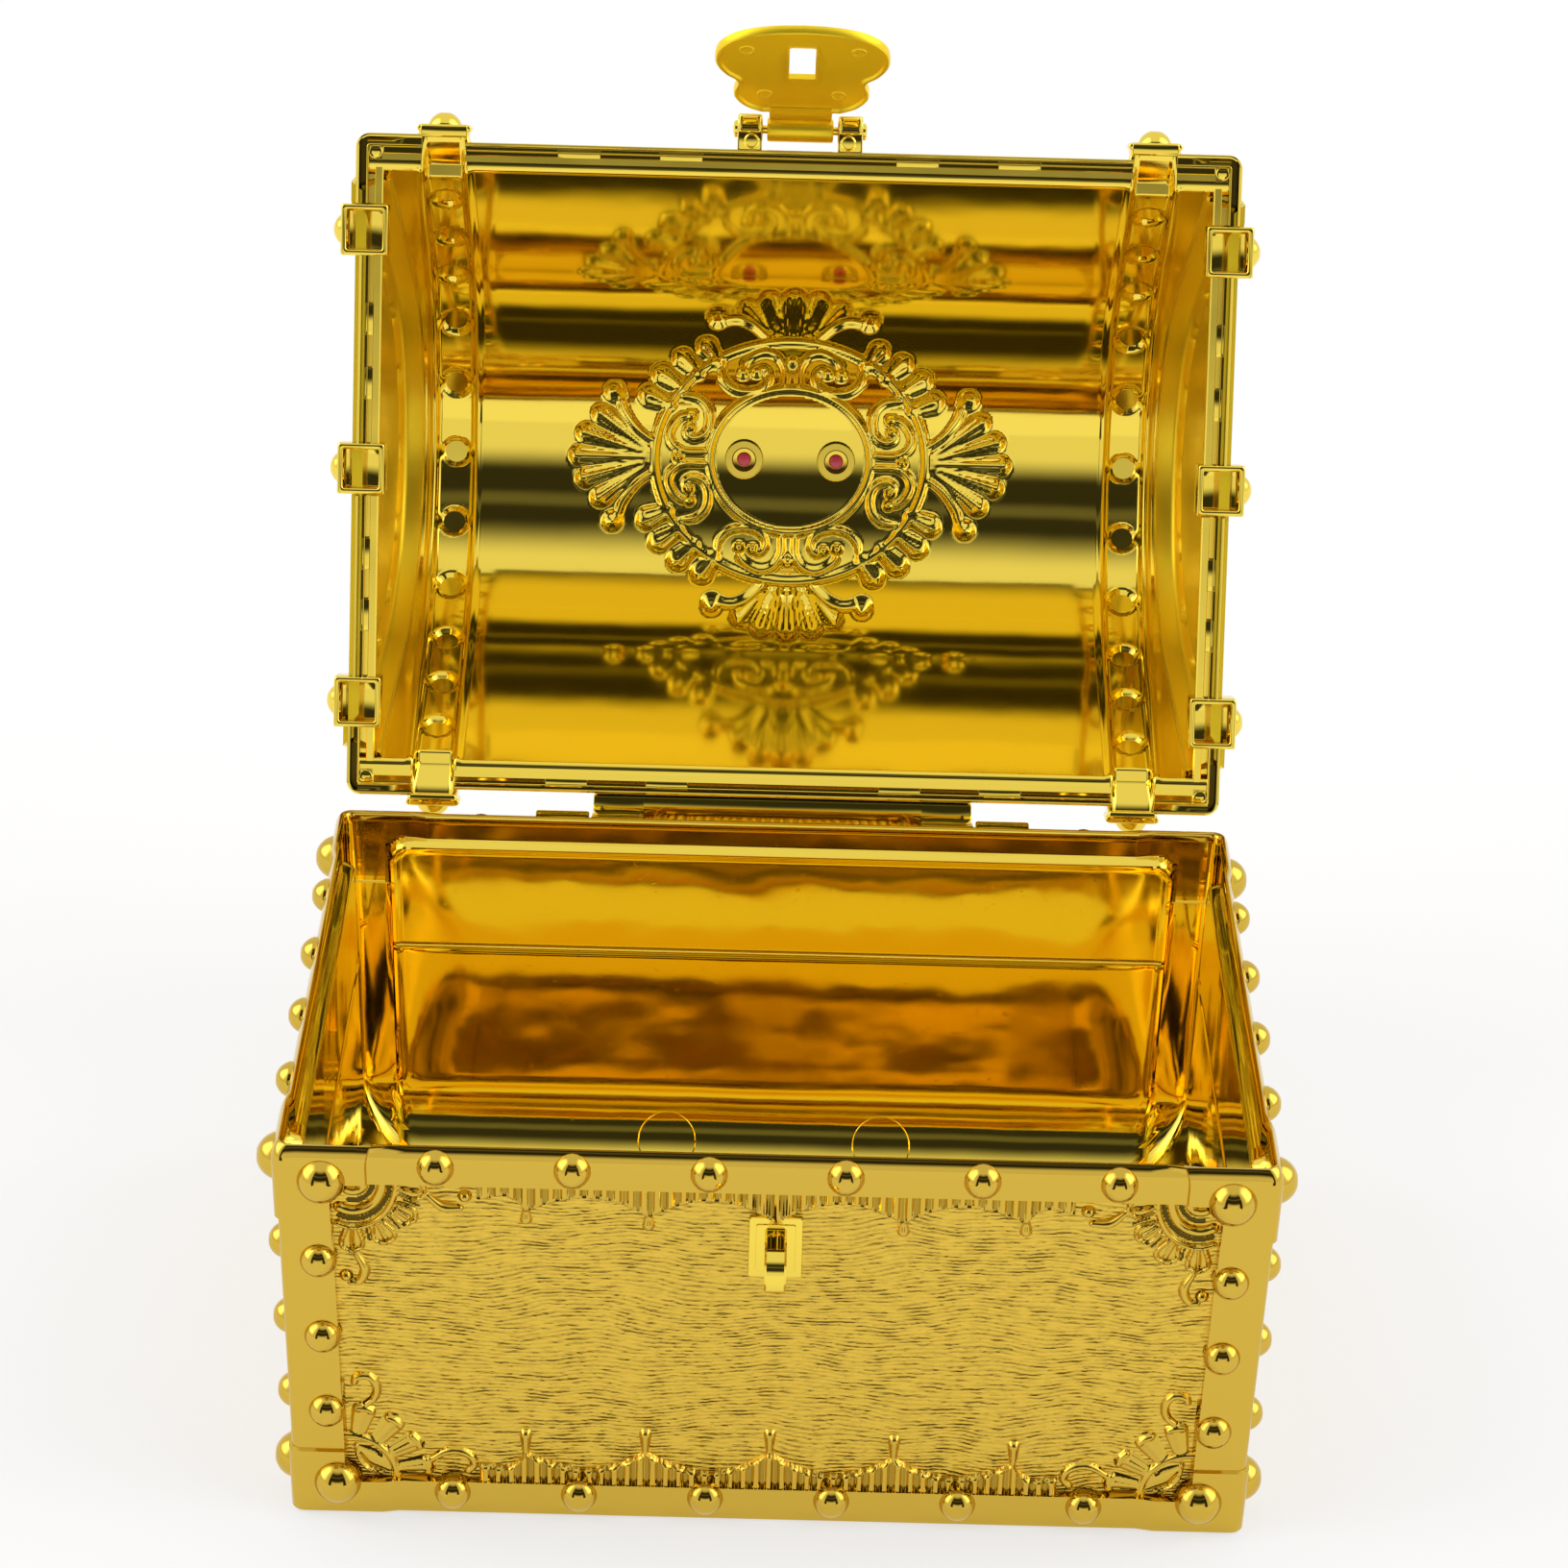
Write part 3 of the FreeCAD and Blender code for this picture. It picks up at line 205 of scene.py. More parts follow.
class Stock:
    """Points, faces and material marks of one piece; some marks pick painted shade."""

    def __init__(self):
        self.points = []
        self.faces = []
        self.marks = []

    def add(self, points, faces, mark=0):
        """Points and faces that go in after what is there."""
        start = len(self.points)
        self.points.extend(tuple(p) for p in points)
        self.faces.extend([start + i for i in face] for face in faces)
        self.marks.extend([mark] * len(faces))

    def sheet(self, grid, wrap_rows=False, wrap_columns=False, ends=(), mark=0):
        """A grid of points. ends names the rows, "first" or "last", that get a flat cap."""
        rows, columns = grid.shape[:2]
        index = np.arange(rows * columns).reshape(rows, columns)
        if wrap_rows:
            index = np.vstack([index, index[:1]])
        if wrap_columns:
            index = np.hstack([index, index[:, :1]])
        faces = grid_faces(index)
        last = (rows - 1) * columns
        if "first" in ends:
            faces.append(list(range(columns))[::-1])
        if "last" in ends:
            faces.append(list(range(last, last + columns)))
        self.add(grid.reshape(-1, 3).tolist(), faces, mark)

    def relief(self, top, mark=0):
        """A closed low relief: a grid of points whose border is sunk, and a flat back."""
        rows, columns = top.shape[:2]
        index = np.arange(rows * columns).reshape(rows, columns)
        border = np.concatenate([index[0, :-1], index[:-1, -1], index[-1, :0:-1], index[:0:-1, 0]])
        self.add(top.reshape(-1, 3).tolist(), grid_faces(index) + [border[::-1].tolist()], mark)

    def lathe(self, profile, origin, axis, segments=24, mark=0):
        """Turned shape: profile of (radius, distance along the axis), closed at both ends."""
        axis = Vector(axis).normalized()
        across = axis.orthogonal().normalized()
        beside = axis.cross(across)
        turn = np.linspace(0, 2 * np.pi, segments, endpoint=False)
        ring = np.outer(np.cos(turn), across) + np.outer(np.sin(turn), beside)
        grid = np.array([np.array(origin) + r * ring + h * np.array(axis) for r, h in profile])
        self.sheet(grid, wrap_columns=True, ends=("first", "last"), mark=mark)

    def block(self, low, high, bevel=0.3, pocket=None, mark=0):
        """Box with softened edges; pocket is (side as axis and sign, wall, depth) of a hollow."""
        work = bmesh.new()
        bmesh.ops.create_cube(work, size=1)
        low, high = Vector(low), Vector(high)
        for corner in work.verts:
            corner.co = Vector(high[i] if corner.co[i] > 0 else low[i] for i in range(3))
        if pocket:
            (way, sign), wall, depth = pocket
            face = max(work.faces, key=lambda f: sign * f.calc_center_median()[way])
            bmesh.ops.inset_region(work, faces=[face], thickness=wall)
            bmesh.ops.recalc_face_normals(work, faces=work.faces)
            out = bmesh.ops.extrude_discrete_faces(work, faces=[face])["faces"]
            for corner in out[0].verts:
                corner.co[way] -= sign * depth
        if bevel:
            bmesh.ops.bevel(work, geom=list(work.edges), offset=bevel, segments=2, profile=0.5,
                            affect="EDGES", clamp_overlap=True)
        work.verts.index_update()
        self.add([v.co[:] for v in work.verts], [[v.index for v in f.verts] for f in work.faces], mark)
        work.free()

    def sweep(self, path, outline, side=(1, 0, 0), closed=False, mark=0):
        """Outline of (side, up) points carried along a path, kept square to it."""
        path = np.array(path, float)
        if closed:
            ahead = np.roll(path, -1, axis=0) - np.roll(path, 1, axis=0)
        else:
            ahead = np.gradient(path, axis=0)
        ahead /= np.linalg.norm(ahead, axis=1)[:, None]
        side = np.array(side, float)
        flat = side - ahead * (ahead @ side)[:, None]
        flat /= np.linalg.norm(flat, axis=1)[:, None]
        up = np.cross(ahead, flat)
        outline = np.array(outline, float)
        grid = path[:, None] + outline[None, :, :1] * flat[:, None] + outline[None, :, 1:] * up[:, None]
        ends = () if closed else ("first", "last")
        self.sheet(grid, wrap_rows=closed, wrap_columns=True, ends=ends, mark=mark)


def make_piece(name, stock, body, materials, at=None, stands_for=(), sharp=38.0):
    """Turns stock into an object that rides on a body and takes the given materials."""
    mesh = bpy.data.meshes.new(name)
    mesh.from_pydata([[c * MM for c in p] for p in stock.points], [], stock.faces)
    if at is not None:
        mesh.transform(at)
    for material in materials:
        mesh.materials.append(material)
    mesh.polygons.foreach_set("material_index", stock.marks)
    work = bmesh.new()
    work.from_mesh(mesh)
    bmesh.ops.recalc_face_normals(work, faces=work.faces)
    work.to_mesh(mesh)
    work.free()
    mesh.shade_smooth()
    mesh.set_sharp_from_angle(angle=math.radians(sharp))
    piece = bpy.data.objects.new(name, mesh)
    bpy.context.scene.collection.objects.link(piece)
    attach(piece, body)
    if stands_for:
        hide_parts(*stands_for)
    return piece


# Ornament: rounded strokes, each a run of (x, y, half width) points and a rise per half width.

SUNK = 0.35


def stroke(points, rise=0.75):
    """A stroke; a single point gives a round bead."""
    return (points if len(points) > 1 else points * 2, rise)


def raised(strokes, across, along):
    """Height of strokes over a grid, sunk a little where there is none.

    A negative rise cuts a groove.
    """
    field = np.full(across.shape, -SUNK)
    for points, rise in strokes:
        swell = np.full(across.shape, -SUNK if rise > 0 else 0.0)
        for (x0, y0, r0), (x1, y1, r1) in zip(points, points[1:]):
            dx, dy = x1 - x0, y1 - y0
            span = max(dx * dx + dy * dy, 1e-9)
            t = np.clip(((across - x0) * dx + (along - y0) * dy) / span, 0, 1)
            radius = r0 + (r1 - r0) * t
            gap = (across - x0 - t * dx) ** 2 + (along - y0 - t * dy) ** 2
            np.maximum(swell, abs(rise) * radius * (1 - gap / radius ** 2), out=swell)
        field = np.maximum(field, swell) if rise > 0 else field - swell
    return field


def curved(points, steps=6):
    """A smooth run through a few (x, y, half width) points."""
    points = np.array(points, float)
    ends = np.vstack([2 * points[0] - points[1], points, 2 * points[-1] - points[-2]])
    run = []
    for a, b, c, d in zip(ends, ends[1:], ends[2:], ends[3:]):
        for t in np.linspace(0, 1, steps, endpoint=False):
            run.append(0.5 * (2 * b + (c - a) * t + (2 * a - 5 * b + 4 * c - d) * t ** 2
                              + (3 * b - a - 3 * c + d) * t ** 3))
    run.append(points[-1])
    return [tuple(p) for p in run]


def moved(strokes, flip_x=1, flip_y=1, x=0.0, y=0.0):
    """Strokes mirrored and then set at a place."""
    def at(px, py, half):
        return x + flip_x * px, y + flip_y * py, half

    return [([at(*point) for point in points], rise) for points, rise in strokes]


def arc(radius_x, radius_y, half, rise, first=0, last=360, x=0.0, steps=24):
    """A stroke along an oval between two angles in degrees."""
    turn = np.radians(np.linspace(first, last, steps))
    return stroke([(x + radius_x * math.cos(t), radius_y * math.sin(t), half) for t in turn], rise)


def ray(degrees, x=0.0):
    """Places along a ray from a band's edge, as a function of the distances out and beside it."""
    c, d = math.cos(math.radians(degrees)), math.sin(math.radians(degrees))
    return lambda out, beside: (x + out * c - beside * d, out * d + beside * c)


def hollow_lobe(at, near, far, half):
    """Lobe of a fan: a raised outline and a middle rib on a low body."""
    middle, shoulder = (near + far) / 2, far - 0.35 * half
    flank = ((near, 0.5), (middle, 0.82), (shoulder, 0.72))
    outline = [(run, -side) for run, side in flank] + [(far, 0)] + list(flank[::-1])
    body = [(*at(near, 0), 0.6 * half), (*at(far - half, 0), half)]
    edge = curved([(*at(run, side * half), 0.46) for run, side in outline])
    rib = [(*at(near, 0), 0.36), (*at(far - 1.1, 0), 0.46)]
    return [stroke(body, 0.06), stroke(edge, 1.75), stroke(rib, 1.6)]


def plump_lobe(at, near, far, half):
    """Lobe of a shell: a rounded body with two fine grooves and a lipped tip."""
    body = [(*at(near, 0), 0.7 * half), (*at(far - 1.0, 0), half)]
    lip = [(*at(far - 0.25, -0.6 * half), 0.75), (*at(far, 0), 0.8), (*at(far - 0.25, 0.6 * half), 0.75)]
    grooves = [stroke([(*at(near, side), 0.4), (*at(far - 1.2, side * 1.4), 0.45)], -0.45)
               for side in (-0.55, 0.55)]
    return [stroke(body, 0.42), *grooves, stroke(curved(lip), 1.45)]


TOP_FAN_CENTRE = 3.6
LOBE_HALF = 2.1


def top_fan():
    """Fan for an upper corner of a panel: x in from the side, y down from the band."""
    strokes = [arc(2.0, 2.1, 0.9, 0.7, -4, 118, TOP_FAN_CENTRE),
               arc(4.9, 5.8, 1.05, 0.95, -4, 118, TOP_FAN_CENTRE),
               arc(7.1, 8.9, 0.6, 1.5, -4, 112, TOP_FAN_CENTRE)]
    for degrees, near, far in ((9, 7.6, 12.0), (37, 8.6, 12.5), (64, 9.2, 13.2), (91, 9.4, 13.7)):
        strokes += hollow_lobe(ray(degrees, TOP_FAN_CENTRE), near, far, LOBE_HALF)
    strokes.append(stroke(curved([(15.9, 2.6, 0.6), (18.3, 4.6, 1.0), (21.2, 4.8, 0.7)]), 1.1))
    strokes.append(stroke([(22.0, 2.5, 1.25)], 1.0))
    stem = curved([(4.1, 14.4, 0.6), (5.4, 17.2, 0.95), (4.6, 19.6, 0.8), (3.0, 20.0, 0.6)])
    strokes.append(stroke(stem, 1.1))
    strokes.append(stroke([(2.3, 18.6, 1.2)], 1.0))
    return strokes


def top_fan_shaded_hollows():
    """Hollows of the upper fan, between its ridges and lobes, where painted shade goes."""
    hollows = [arc(3.35, 3.8, 0.62, 0.1, 0, 100, TOP_FAN_CENTRE),
               arc(6.1, 7.4, 0.6, 0.1, -4, 112, TOP_FAN_CENTRE)]
    for degrees in (23, 50, 77):
        at = ray(degrees, TOP_FAN_CENTRE)
        hollows.append(stroke([(*at(9.0, 0), 0.3), (*at(11.8, 0), 0.42)], 0.1))
    return hollows


def foot_fan():
    """Shell for a lower corner of a panel: x in from the side, y up from the band."""
    strokes = [stroke(curved([(1.6, 6.0, 0.4), (4.6, 3.5, 1.7), (8.0, 0.6, 0.4)]), 0.4),
               stroke(curved([(1.6, 6.2, 0.42), (2.2, 3.2, 0.42), (4.4, 0.9, 0.42), (8.0, 0.4, 0.42)]), 1.6),
               arc(8.5, 8.3, 0.75, 1.3, -4, 94)]
    for degrees in (10, 32, 54, 77):
        strokes += plump_lobe(ray(degrees), 9.6, 14.2, LOBE_HALF)
    strokes.append(stroke(curved([(3.3, 14.4, 0.7), (4.9, 16.0, 0.8), (5.2, 18.4, 0.85), (3.9, 20.2, 0.85),
                                  (2.0, 20.0, 0.8), (1.5, 18.9, 0.7)]), 1.1))
    strokes.append(stroke(curved([(14.4, 3.6, 0.7), (16.4, 5.0, 0.8), (18.6, 5.5, 0.85), (20.8, 4.6, 0.85),
                                  (21.6, 2.8, 0.8), (20.6, 1.4, 0.75)]), 1.1))
    return strokes


VALANCE_LEVEL, VALANCE_EDGE, VALANCE_END = 1.3, 0.7, 3.0
FLUTE_PITCH, SCOOP_HALF, SCOOP_DEPTH, SCOOP_SHADE = 2.18, 0.72, 0.7, 0.72
SCOOP_CLEAR, SCOOP_FADE = 0.3, 0.35
BEAD, BEAD_STEM, BEAD_OVERLAP = 1.1, 0.5, 0.8


def valance(across, out, reach, cusps, shallow, bead_out):
    """Height of a fluted valance, and where its scoops lie in shade.

    out runs away from the band; cusps are (place, depth), with arches between.
    """
    places = [-reach] + [place for place, _ in cusps] + [reach]
    depths = [VALANCE_END] + [depth for _, depth in cusps] + [VALANCE_END]
    bay = np.interp(across, places, range(len(places))) % 1
    edge = shallow + (np.interp(across, places, depths) - shallow) * (2 * bay - 1) ** 2
    within = np.clip((edge - out) / VALANCE_EDGE, 0, 1)
    field = (VALANCE_LEVEL + SUNK) * np.sqrt(1 - (1 - within) ** 2) - SUNK
    off = FLUTE_PITCH * ((across / FLUTE_PITCH) % 1 - 0.5)
    scoop = np.sqrt(np.clip(1 - (off / SCOOP_HALF) ** 2, 0, 1))
    field -= SCOOP_DEPTH * scoop * np.clip((edge - out - SCOOP_CLEAR) / SCOOP_FADE, 0, 1)
    field[np.abs(across) > reach] = -SUNK
    beads = [stroke([(place, depth - BEAD_OVERLAP, BEAD_STEM), (place, depth + bead_out, BEAD)], 1.0)
             for place, depth in cusps]
    drops = raised(beads, across, out)
    shade = (scoop > SCOOP_SHADE) & (edge - out > SCOOP_CLEAR) & (drops < field)
    return np.maximum(field, drops), shade


# Materials

def node_group(name, inputs, outputs):
    """An empty shader group with named sockets: (name, kind, default) each."""
    group = bpy.data.node_groups.new(name, "ShaderNodeTree")
    for label, kind, default in inputs:
        group.interface.new_socket(label, in_out="INPUT", socket_type=kind).default_value = default
    for label, kind in outputs:
        group.interface.new_socket(label, in_out="OUTPUT", socket_type=kind)
    return group, group.nodes.new("NodeGroupInput"), group.nodes.new("NodeGroupOutput")


def maths(tree, operation, first, second=None, clamp=False):
    """A Math node over sockets or plain numbers."""
    node = tree.nodes.new("ShaderNodeMath")
    node.operation = operation
    node.use_clamp = clamp
    for socket, value in zip(node.inputs, (first, second)):
        if value is None:
            continue
        if isinstance(value, (int, float)):
            socket.default_value = value
        else:
            tree.links.new(value, socket)
    return node.outputs[0]


def noise(tree, vector, scale, detail=2.0, rough=0.5):
    """Noise over a vector."""
    node = tree.nodes.new("ShaderNodeTexNoise")
    tree.links.new(vector, node.inputs["Vector"])
    node.inputs["Scale"].default_value = scale
    node.inputs["Detail"].default_value = detail
    node.inputs["Roughness"].default_value = rough
    return node.outputs["Fac"]


WAVE_SCALE, FLECK_SCALE, FLECK_FLOOR, CLOUD_SCALE = 55.0, 900.0, 0.68, 140.0


def ripple_group():
    """Slow waves and fine flecks of a plated moulding, as a height."""
    group, given, result = node_group("plating_ripple", [("Vector", "NodeSocketVector", (0, 0, 0)),
                                                         ("Waves", "NodeSocketFloat", 1.0),
                                                         ("Flecks", "NodeSocketFloat", 1.0)],
                                      [("Height", "NodeSocketFloat"), ("Wear", "NodeSocketFloat")])
    waves = noise(group, given.outputs["Vector"], WAVE_SCALE, 1.5)
    flecks = noise(group, given.outputs["Vector"], FLECK_SCALE, 2.0, 0.6)
    spots = maths(group, "SUBTRACT", flecks, FLECK_FLOOR, clamp=True)
    slow = maths(group, "MULTIPLY", waves, given.outputs["Waves"])
    fine = maths(group, "MULTIPLY", spots, given.outputs["Flecks"])
    group.links.new(maths(group, "ADD", slow, fine), result.inputs["Height"])
    cloud = noise(group, given.outputs["Vector"], CLOUD_SCALE, 3.0)
    group.links.new(cloud, result.inputs["Wear"])
    return group


GRAIN_PITCH = 0.00078
FIGURE_SPREAD, FIGURE_BEND = (44.0, 34.0), 62.0
WAVER_SPREAD, WAVER_BEND = (260.0, 520.0), 7.0
PORE_SPREAD, PORE_FLOOR, PORE_DEPTH = (520.0, 2600.0), 0.52, 1.6
WORN_SPREAD, WORN_FLOOR, WORN_GAIN = (210.0, 640.0), 0.24, 2.2


def grain_group():
    """Carved wood grain running sideways: long lines that bend into figures and wear away, and short pores.

    Height is the carving, scaled; Crest is the same from 0 in the lines to 1 between them.
    """
    group, given, result = node_group("carved_grain", [("Vector", "NodeSocketVector", (0, 0, 0)),
                                                       ("Scale", "NodeSocketFloat", 1.0)],
                                      [("Height", "NodeSocketFloat"), ("Crest", "NodeSocketFloat")])
    parts = group.nodes.new("ShaderNodeSeparateXYZ")
    group.links.new(given.outputs["Vector"], parts.inputs[0])
    along = maths(group, "ADD", parts.outputs[0], parts.outputs[1])

    def spread(stretch_along, stretch_up):
        """Places stretched along the grain and across it."""
        join = group.nodes.new("ShaderNodeCombineXYZ")
        group.links.new(maths(group, "MULTIPLY", along, stretch_along), join.inputs[0])
        group.links.new(maths(group, "MULTIPLY", parts.outputs[2], stretch_up), join.inputs[1])
        return join.outputs[0]

    figure = maths(group, "MULTIPLY", noise(group, spread(*FIGURE_SPREAD), 1.0, 1.0), FIGURE_BEND)
    waver = maths(group, "MULTIPLY", noise(group, spread(*WAVER_SPREAD), 1.0, 2.0), WAVER_BEND)
    even = maths(group, "MULTIPLY", parts.outputs[2], 2 * math.pi / GRAIN_PITCH)
    phase = maths(group, "ADD", even, maths(group, "ADD", figure, waver))
    crest = maths(group, "MULTIPLY", maths(group, "ADD", maths(group, "SINE", phase), 1.0), 0.5)
    lines = maths(group, "POWER", crest, 0.5)
    pores = noise(group, spread(*PORE_SPREAD), 1.0, 1.0)
    cut = maths(group, "MULTIPLY", maths(group, "SUBTRACT", pores, PORE_FLOOR, clamp=True), PORE_DEPTH)
    faint = maths(group, "SUBTRACT", noise(group, spread(*WORN_SPREAD), 1.0, 1.0), WORN_FLOOR)
    worn = maths(group, "MULTIPLY", faint, WORN_GAIN, clamp=True)
    sunk = maths(group, "MULTIPLY", maths(group, "SUBTRACT", 1.0, lines), worn)
    total = maths(group, "SUBTRACT", 1.0, maths(group, "ADD", sunk, cut), clamp=True)
    group.links.new(maths(group, "MULTIPLY", total, given.outputs["Scale"]), result.inputs["Height"])
    group.links.new(total, result.inputs["Crest"])
    return group


def blend(tree, share, first, second):
    """From one colour to another by a share."""
    node = tree.nodes.new("ShaderNodeMix")
    node.data_type = "RGBA"
    node.inputs["A"].default_value = (*first, 1)
    node.inputs["B"].default_value = (*second, 1)
    tree.links.new(share, node.inputs["Factor"])
    return node.outputs["Result"]


RIPPLE_DEPTH = 0.00012
# Painted shade in the carved grain lines and painted light between them: shares of the colour at the lines and
# at the crests
GRAIN_LINE_SHADE, GRAIN_CREST_LIGHT = 0.56, 1.2


def gilt(name, colour, groups, waves, flecks, roughness, grain=0.0, turn=0.0, metal=1.0):
    """Bright gold plating; grain carves wood lines into it and paints shade into the lines, turn lays them
    along a tilted lid.
    """
    material = bpy.data.materials.new(name)
    material.use_nodes = True
    tree = material.node_tree
    shader = tree.nodes["Principled BSDF"]
    shader.inputs["Metallic"].default_value = metal
    shader.inputs["Base Color"].default_value = (*colour, 1)
    place = tree.nodes.new("ShaderNodeTexCoord")
    vector = place.outputs["Object"]
    if turn:
        mapping = tree.nodes.new("ShaderNodeMapping")
        mapping.inputs["Rotation"].default_value = (math.radians(turn), 0, 0)
        tree.links.new(vector, mapping.inputs["Vector"])
        vector = mapping.outputs["Vector"]
    ripple = tree.nodes.new("ShaderNodeGroup")
    ripple.node_tree = groups["ripple"]
    tree.links.new(vector, ripple.inputs["Vector"])
    ripple.inputs["Waves"].default_value = waves
    ripple.inputs["Flecks"].default_value = flecks
    height = ripple.outputs["Height"]
    rough = tree.nodes.new("ShaderNodeMapRange")
    rough.inputs["To Min"].default_value = roughness * 0.7
    rough.inputs["To Max"].default_value = roughness * 1.3
    tree.links.new(ripple.outputs["Wear"], rough.inputs["Value"])
    tree.links.new(rough.outputs["Result"], shader.inputs["Roughness"])
    if grain:
        carved = tree.nodes.new("ShaderNodeGroup")
        carved.node_tree = groups["grain"]
        tree.links.new(vector, carved.inputs["Vector"])
        carved.inputs["Scale"].default_value = grain
        height = maths(tree, "ADD", height, carved.outputs["Height"])
        # The grain's lines are painted darker and its crests lighter, as painted shade and painted light
        shades = [[min(1.0, share * c) for c in colour] for share in (GRAIN_LINE_SHADE, GRAIN_CREST_LIGHT)]
        tree.links.new(blend(tree, carved.outputs["Crest"], *shades), shader.inputs["Base Color"])
    bump = tree.nodes.new("ShaderNodeBump")
    bump.inputs["Strength"].default_value = 1.0
    bump.inputs["Distance"].default_value = RIPPLE_DEPTH
    tree.links.new(height, bump.inputs["Height"])
    tree.links.new(bump.outputs["Normal"], shader.inputs["Normal"])
    return material


# Painted shade: shares of the deeper gold for the rim's channel and the fans' hollows, and for the flutes'
# scoops
RECESS_SHADE, FLUTE_SHADE = 0.16, 0.62


def finishes(context):
    """The chest's materials by name, made once."""
    made = bpy.data.materials
    if "gilt_bright" not in made:
        colours = context.scene.chest_colours
        # deep is the painted-shade copy of the gold
        gold, deep = colours.gold[:], colours.shaded_gold[:]
        groups = {"ripple": ripple_group(), "grain": grain_group()}
        gilt("gilt_bright", gold, groups, 1.0, 0.05, 0.07)
        gilt("gilt_inside", gold, groups, 1.3, 0.25, 0.06)
        gilt("gilt_barrel", gold, groups, 0.7, 0.05, 0.07)
        # Painted shade: the outside of the base, its ornament and its studs take the darker copy of the gold
        gilt("gilt_base_shaded", deep, groups, 0.8, 0.05, 0.07)
        # The grained panels take the painted-shade copy of the gold, with painted shade in the grain lines
        gilt("gilt_grain_shaded", deep, groups, 0.4, 0.0, 0.16, grain=1.2)
        gilt("gilt_lid_grain_shaded", deep, groups, 0.4, 0.0, 0.16, grain=1.2, turn=LID_SWING)
        # Painted light: a lighter gold for the hasp and the inside of the lid ends, with a real satin roughness
        gilt("gilt_satin_lit", colours.satin_lit_gold[:], groups, 0.3, 0.0, 0.34, metal=0.75)
        # Painted shade for the rim's channel and the fans' hollows
        gilt("gilt_recess_shade", [RECESS_SHADE * c for c in deep], groups, 0.3, 0.0, 0.3)
        # Painted shade for the flutes' scoops
        gilt("gilt_shade", [FLUTE_SHADE * c for c in deep], groups, 0.3, 0.0, 0.15)
        gilt("pin_steel", colours.steel[:], groups, 0.3, 0.1, 0.25)
        stone = gilt("red_stone", colours.jewel[:], groups, 0.3, 0.0, 0.06, metal=0.0)
        stone.node_tree.nodes["Principled BSDF"].inputs["Coat Weight"].default_value = 0.6
    return made


# Base

SIDES = (("left", -1), ("right", 1))
FACES = {"front": (0, -1, 0), "right": (1, 0, 0), "back": (0, 1, 0), "left": (-1, 0, 0)}
EDGE = 0.14
SMOOTH_RIM = ((0.0, 0.5), (0.15, 0.15), (0.5, 0.0))
ROUND_RIM = ((0.0, 3.4), (0.08, 2.5), (0.3, 1.6), (0.65, 0.8), (1.0, 0.2), (1.2, 0.0))
RIM_CLEAR = 3.8
INNER_CORNER = 1.3


def set_on(face, along, wide, deep, z):
    """Point on a face of a box with a half width and a half depth: along the face, at a height."""
    places = {"front": (along, -deep, z), "right": (wide, along, z), "back": (-along, deep, z),
              "left": (-wide, -along, z)}
    return places[face]


def on_face(s, face, along, z, out):
    """Point on a face of the base: along it, at a height, standing out of the bands."""
    grown = out - drawn_in(s, z)
    return set_on(face, along, s.half_width + grown, s.half_depth + grown, z)


def face_half(s, face):
    """Half the length of a face at the rim."""
    return s.half_width if face in ("front", "back") else s.half_depth


def base_places(s):
    """Places of the upright lines along a half face, as insets from the corner."""
    near = [s.corner, 3.2, 4.6] + list(np.arange(5.2, 12.4, 0.55))
    near += [s.post - EDGE, s.post + EDGE, s.bracket_reach - EDGE, s.bracket_reach + EDGE]
    return sorted(set(near))


def outer_step(s, inset, z):
    """How far the outside of the base stands out of its bands."""
    window = (inset > s.post) & (z > s.foot_band) & (z < s.height - s.top_band)
    level = (z > s.height - s.top_bracket) | (z < s.foot_bracket)
    bracket = (inset < s.bracket_reach) & level
    return np.where(window, -s.panel_inset, np.where(bracket, s.bracket_proud, 0.0))


LEDGE_CORNER, LEDGE_ROUND, LEDGE_BEAD = 4.0, 1.5, 0.3
CREASE, CREASE_HALF, CREASE_RISE = 46.0, 0.55, 0.28


def inner_step(s, inset, z):
    """How far the inside of the base lies out of its bands: panels stand in, with a ledge and a crease."""
    across = inset - (s.post - s.wall)
    down = s.height - s.top_band + s.wall - z
    gap = np.hypot(np.maximum(LEDGE_CORNER - across, 0), np.maximum(LEDGE_CORNER - down, 0))
    within = np.clip((LEDGE_CORNER - gap) / LEDGE_ROUND, 0, 1)
    ledge = np.sqrt(1 - (1 - within) ** 2)
    bead = LEDGE_BEAD * np.exp(-((LEDGE_CORNER - gap - 0.9) / 0.6) ** 2)
    level = (z > s.height - s.top_bracket) | (z < s.foot_bracket)
    bracket = np.where((inset < s.bracket_reach - s.wall) & level, s.bracket_proud, 0.0)
    crease = CREASE_RISE * np.exp(-((z - CREASE) / CREASE_HALF) ** 2)
    return bracket * (1 - ledge) - (s.panel_inset + crease) * ledge - bead


CORNERS = ((1, -1), (1, 1), (-1, 1), (-1, -1))
CORNER_SHARES = (0.17, 0.33, 0.5, 0.67, 0.83)
LONG_LINES, SHORT_LINES = 46, 32


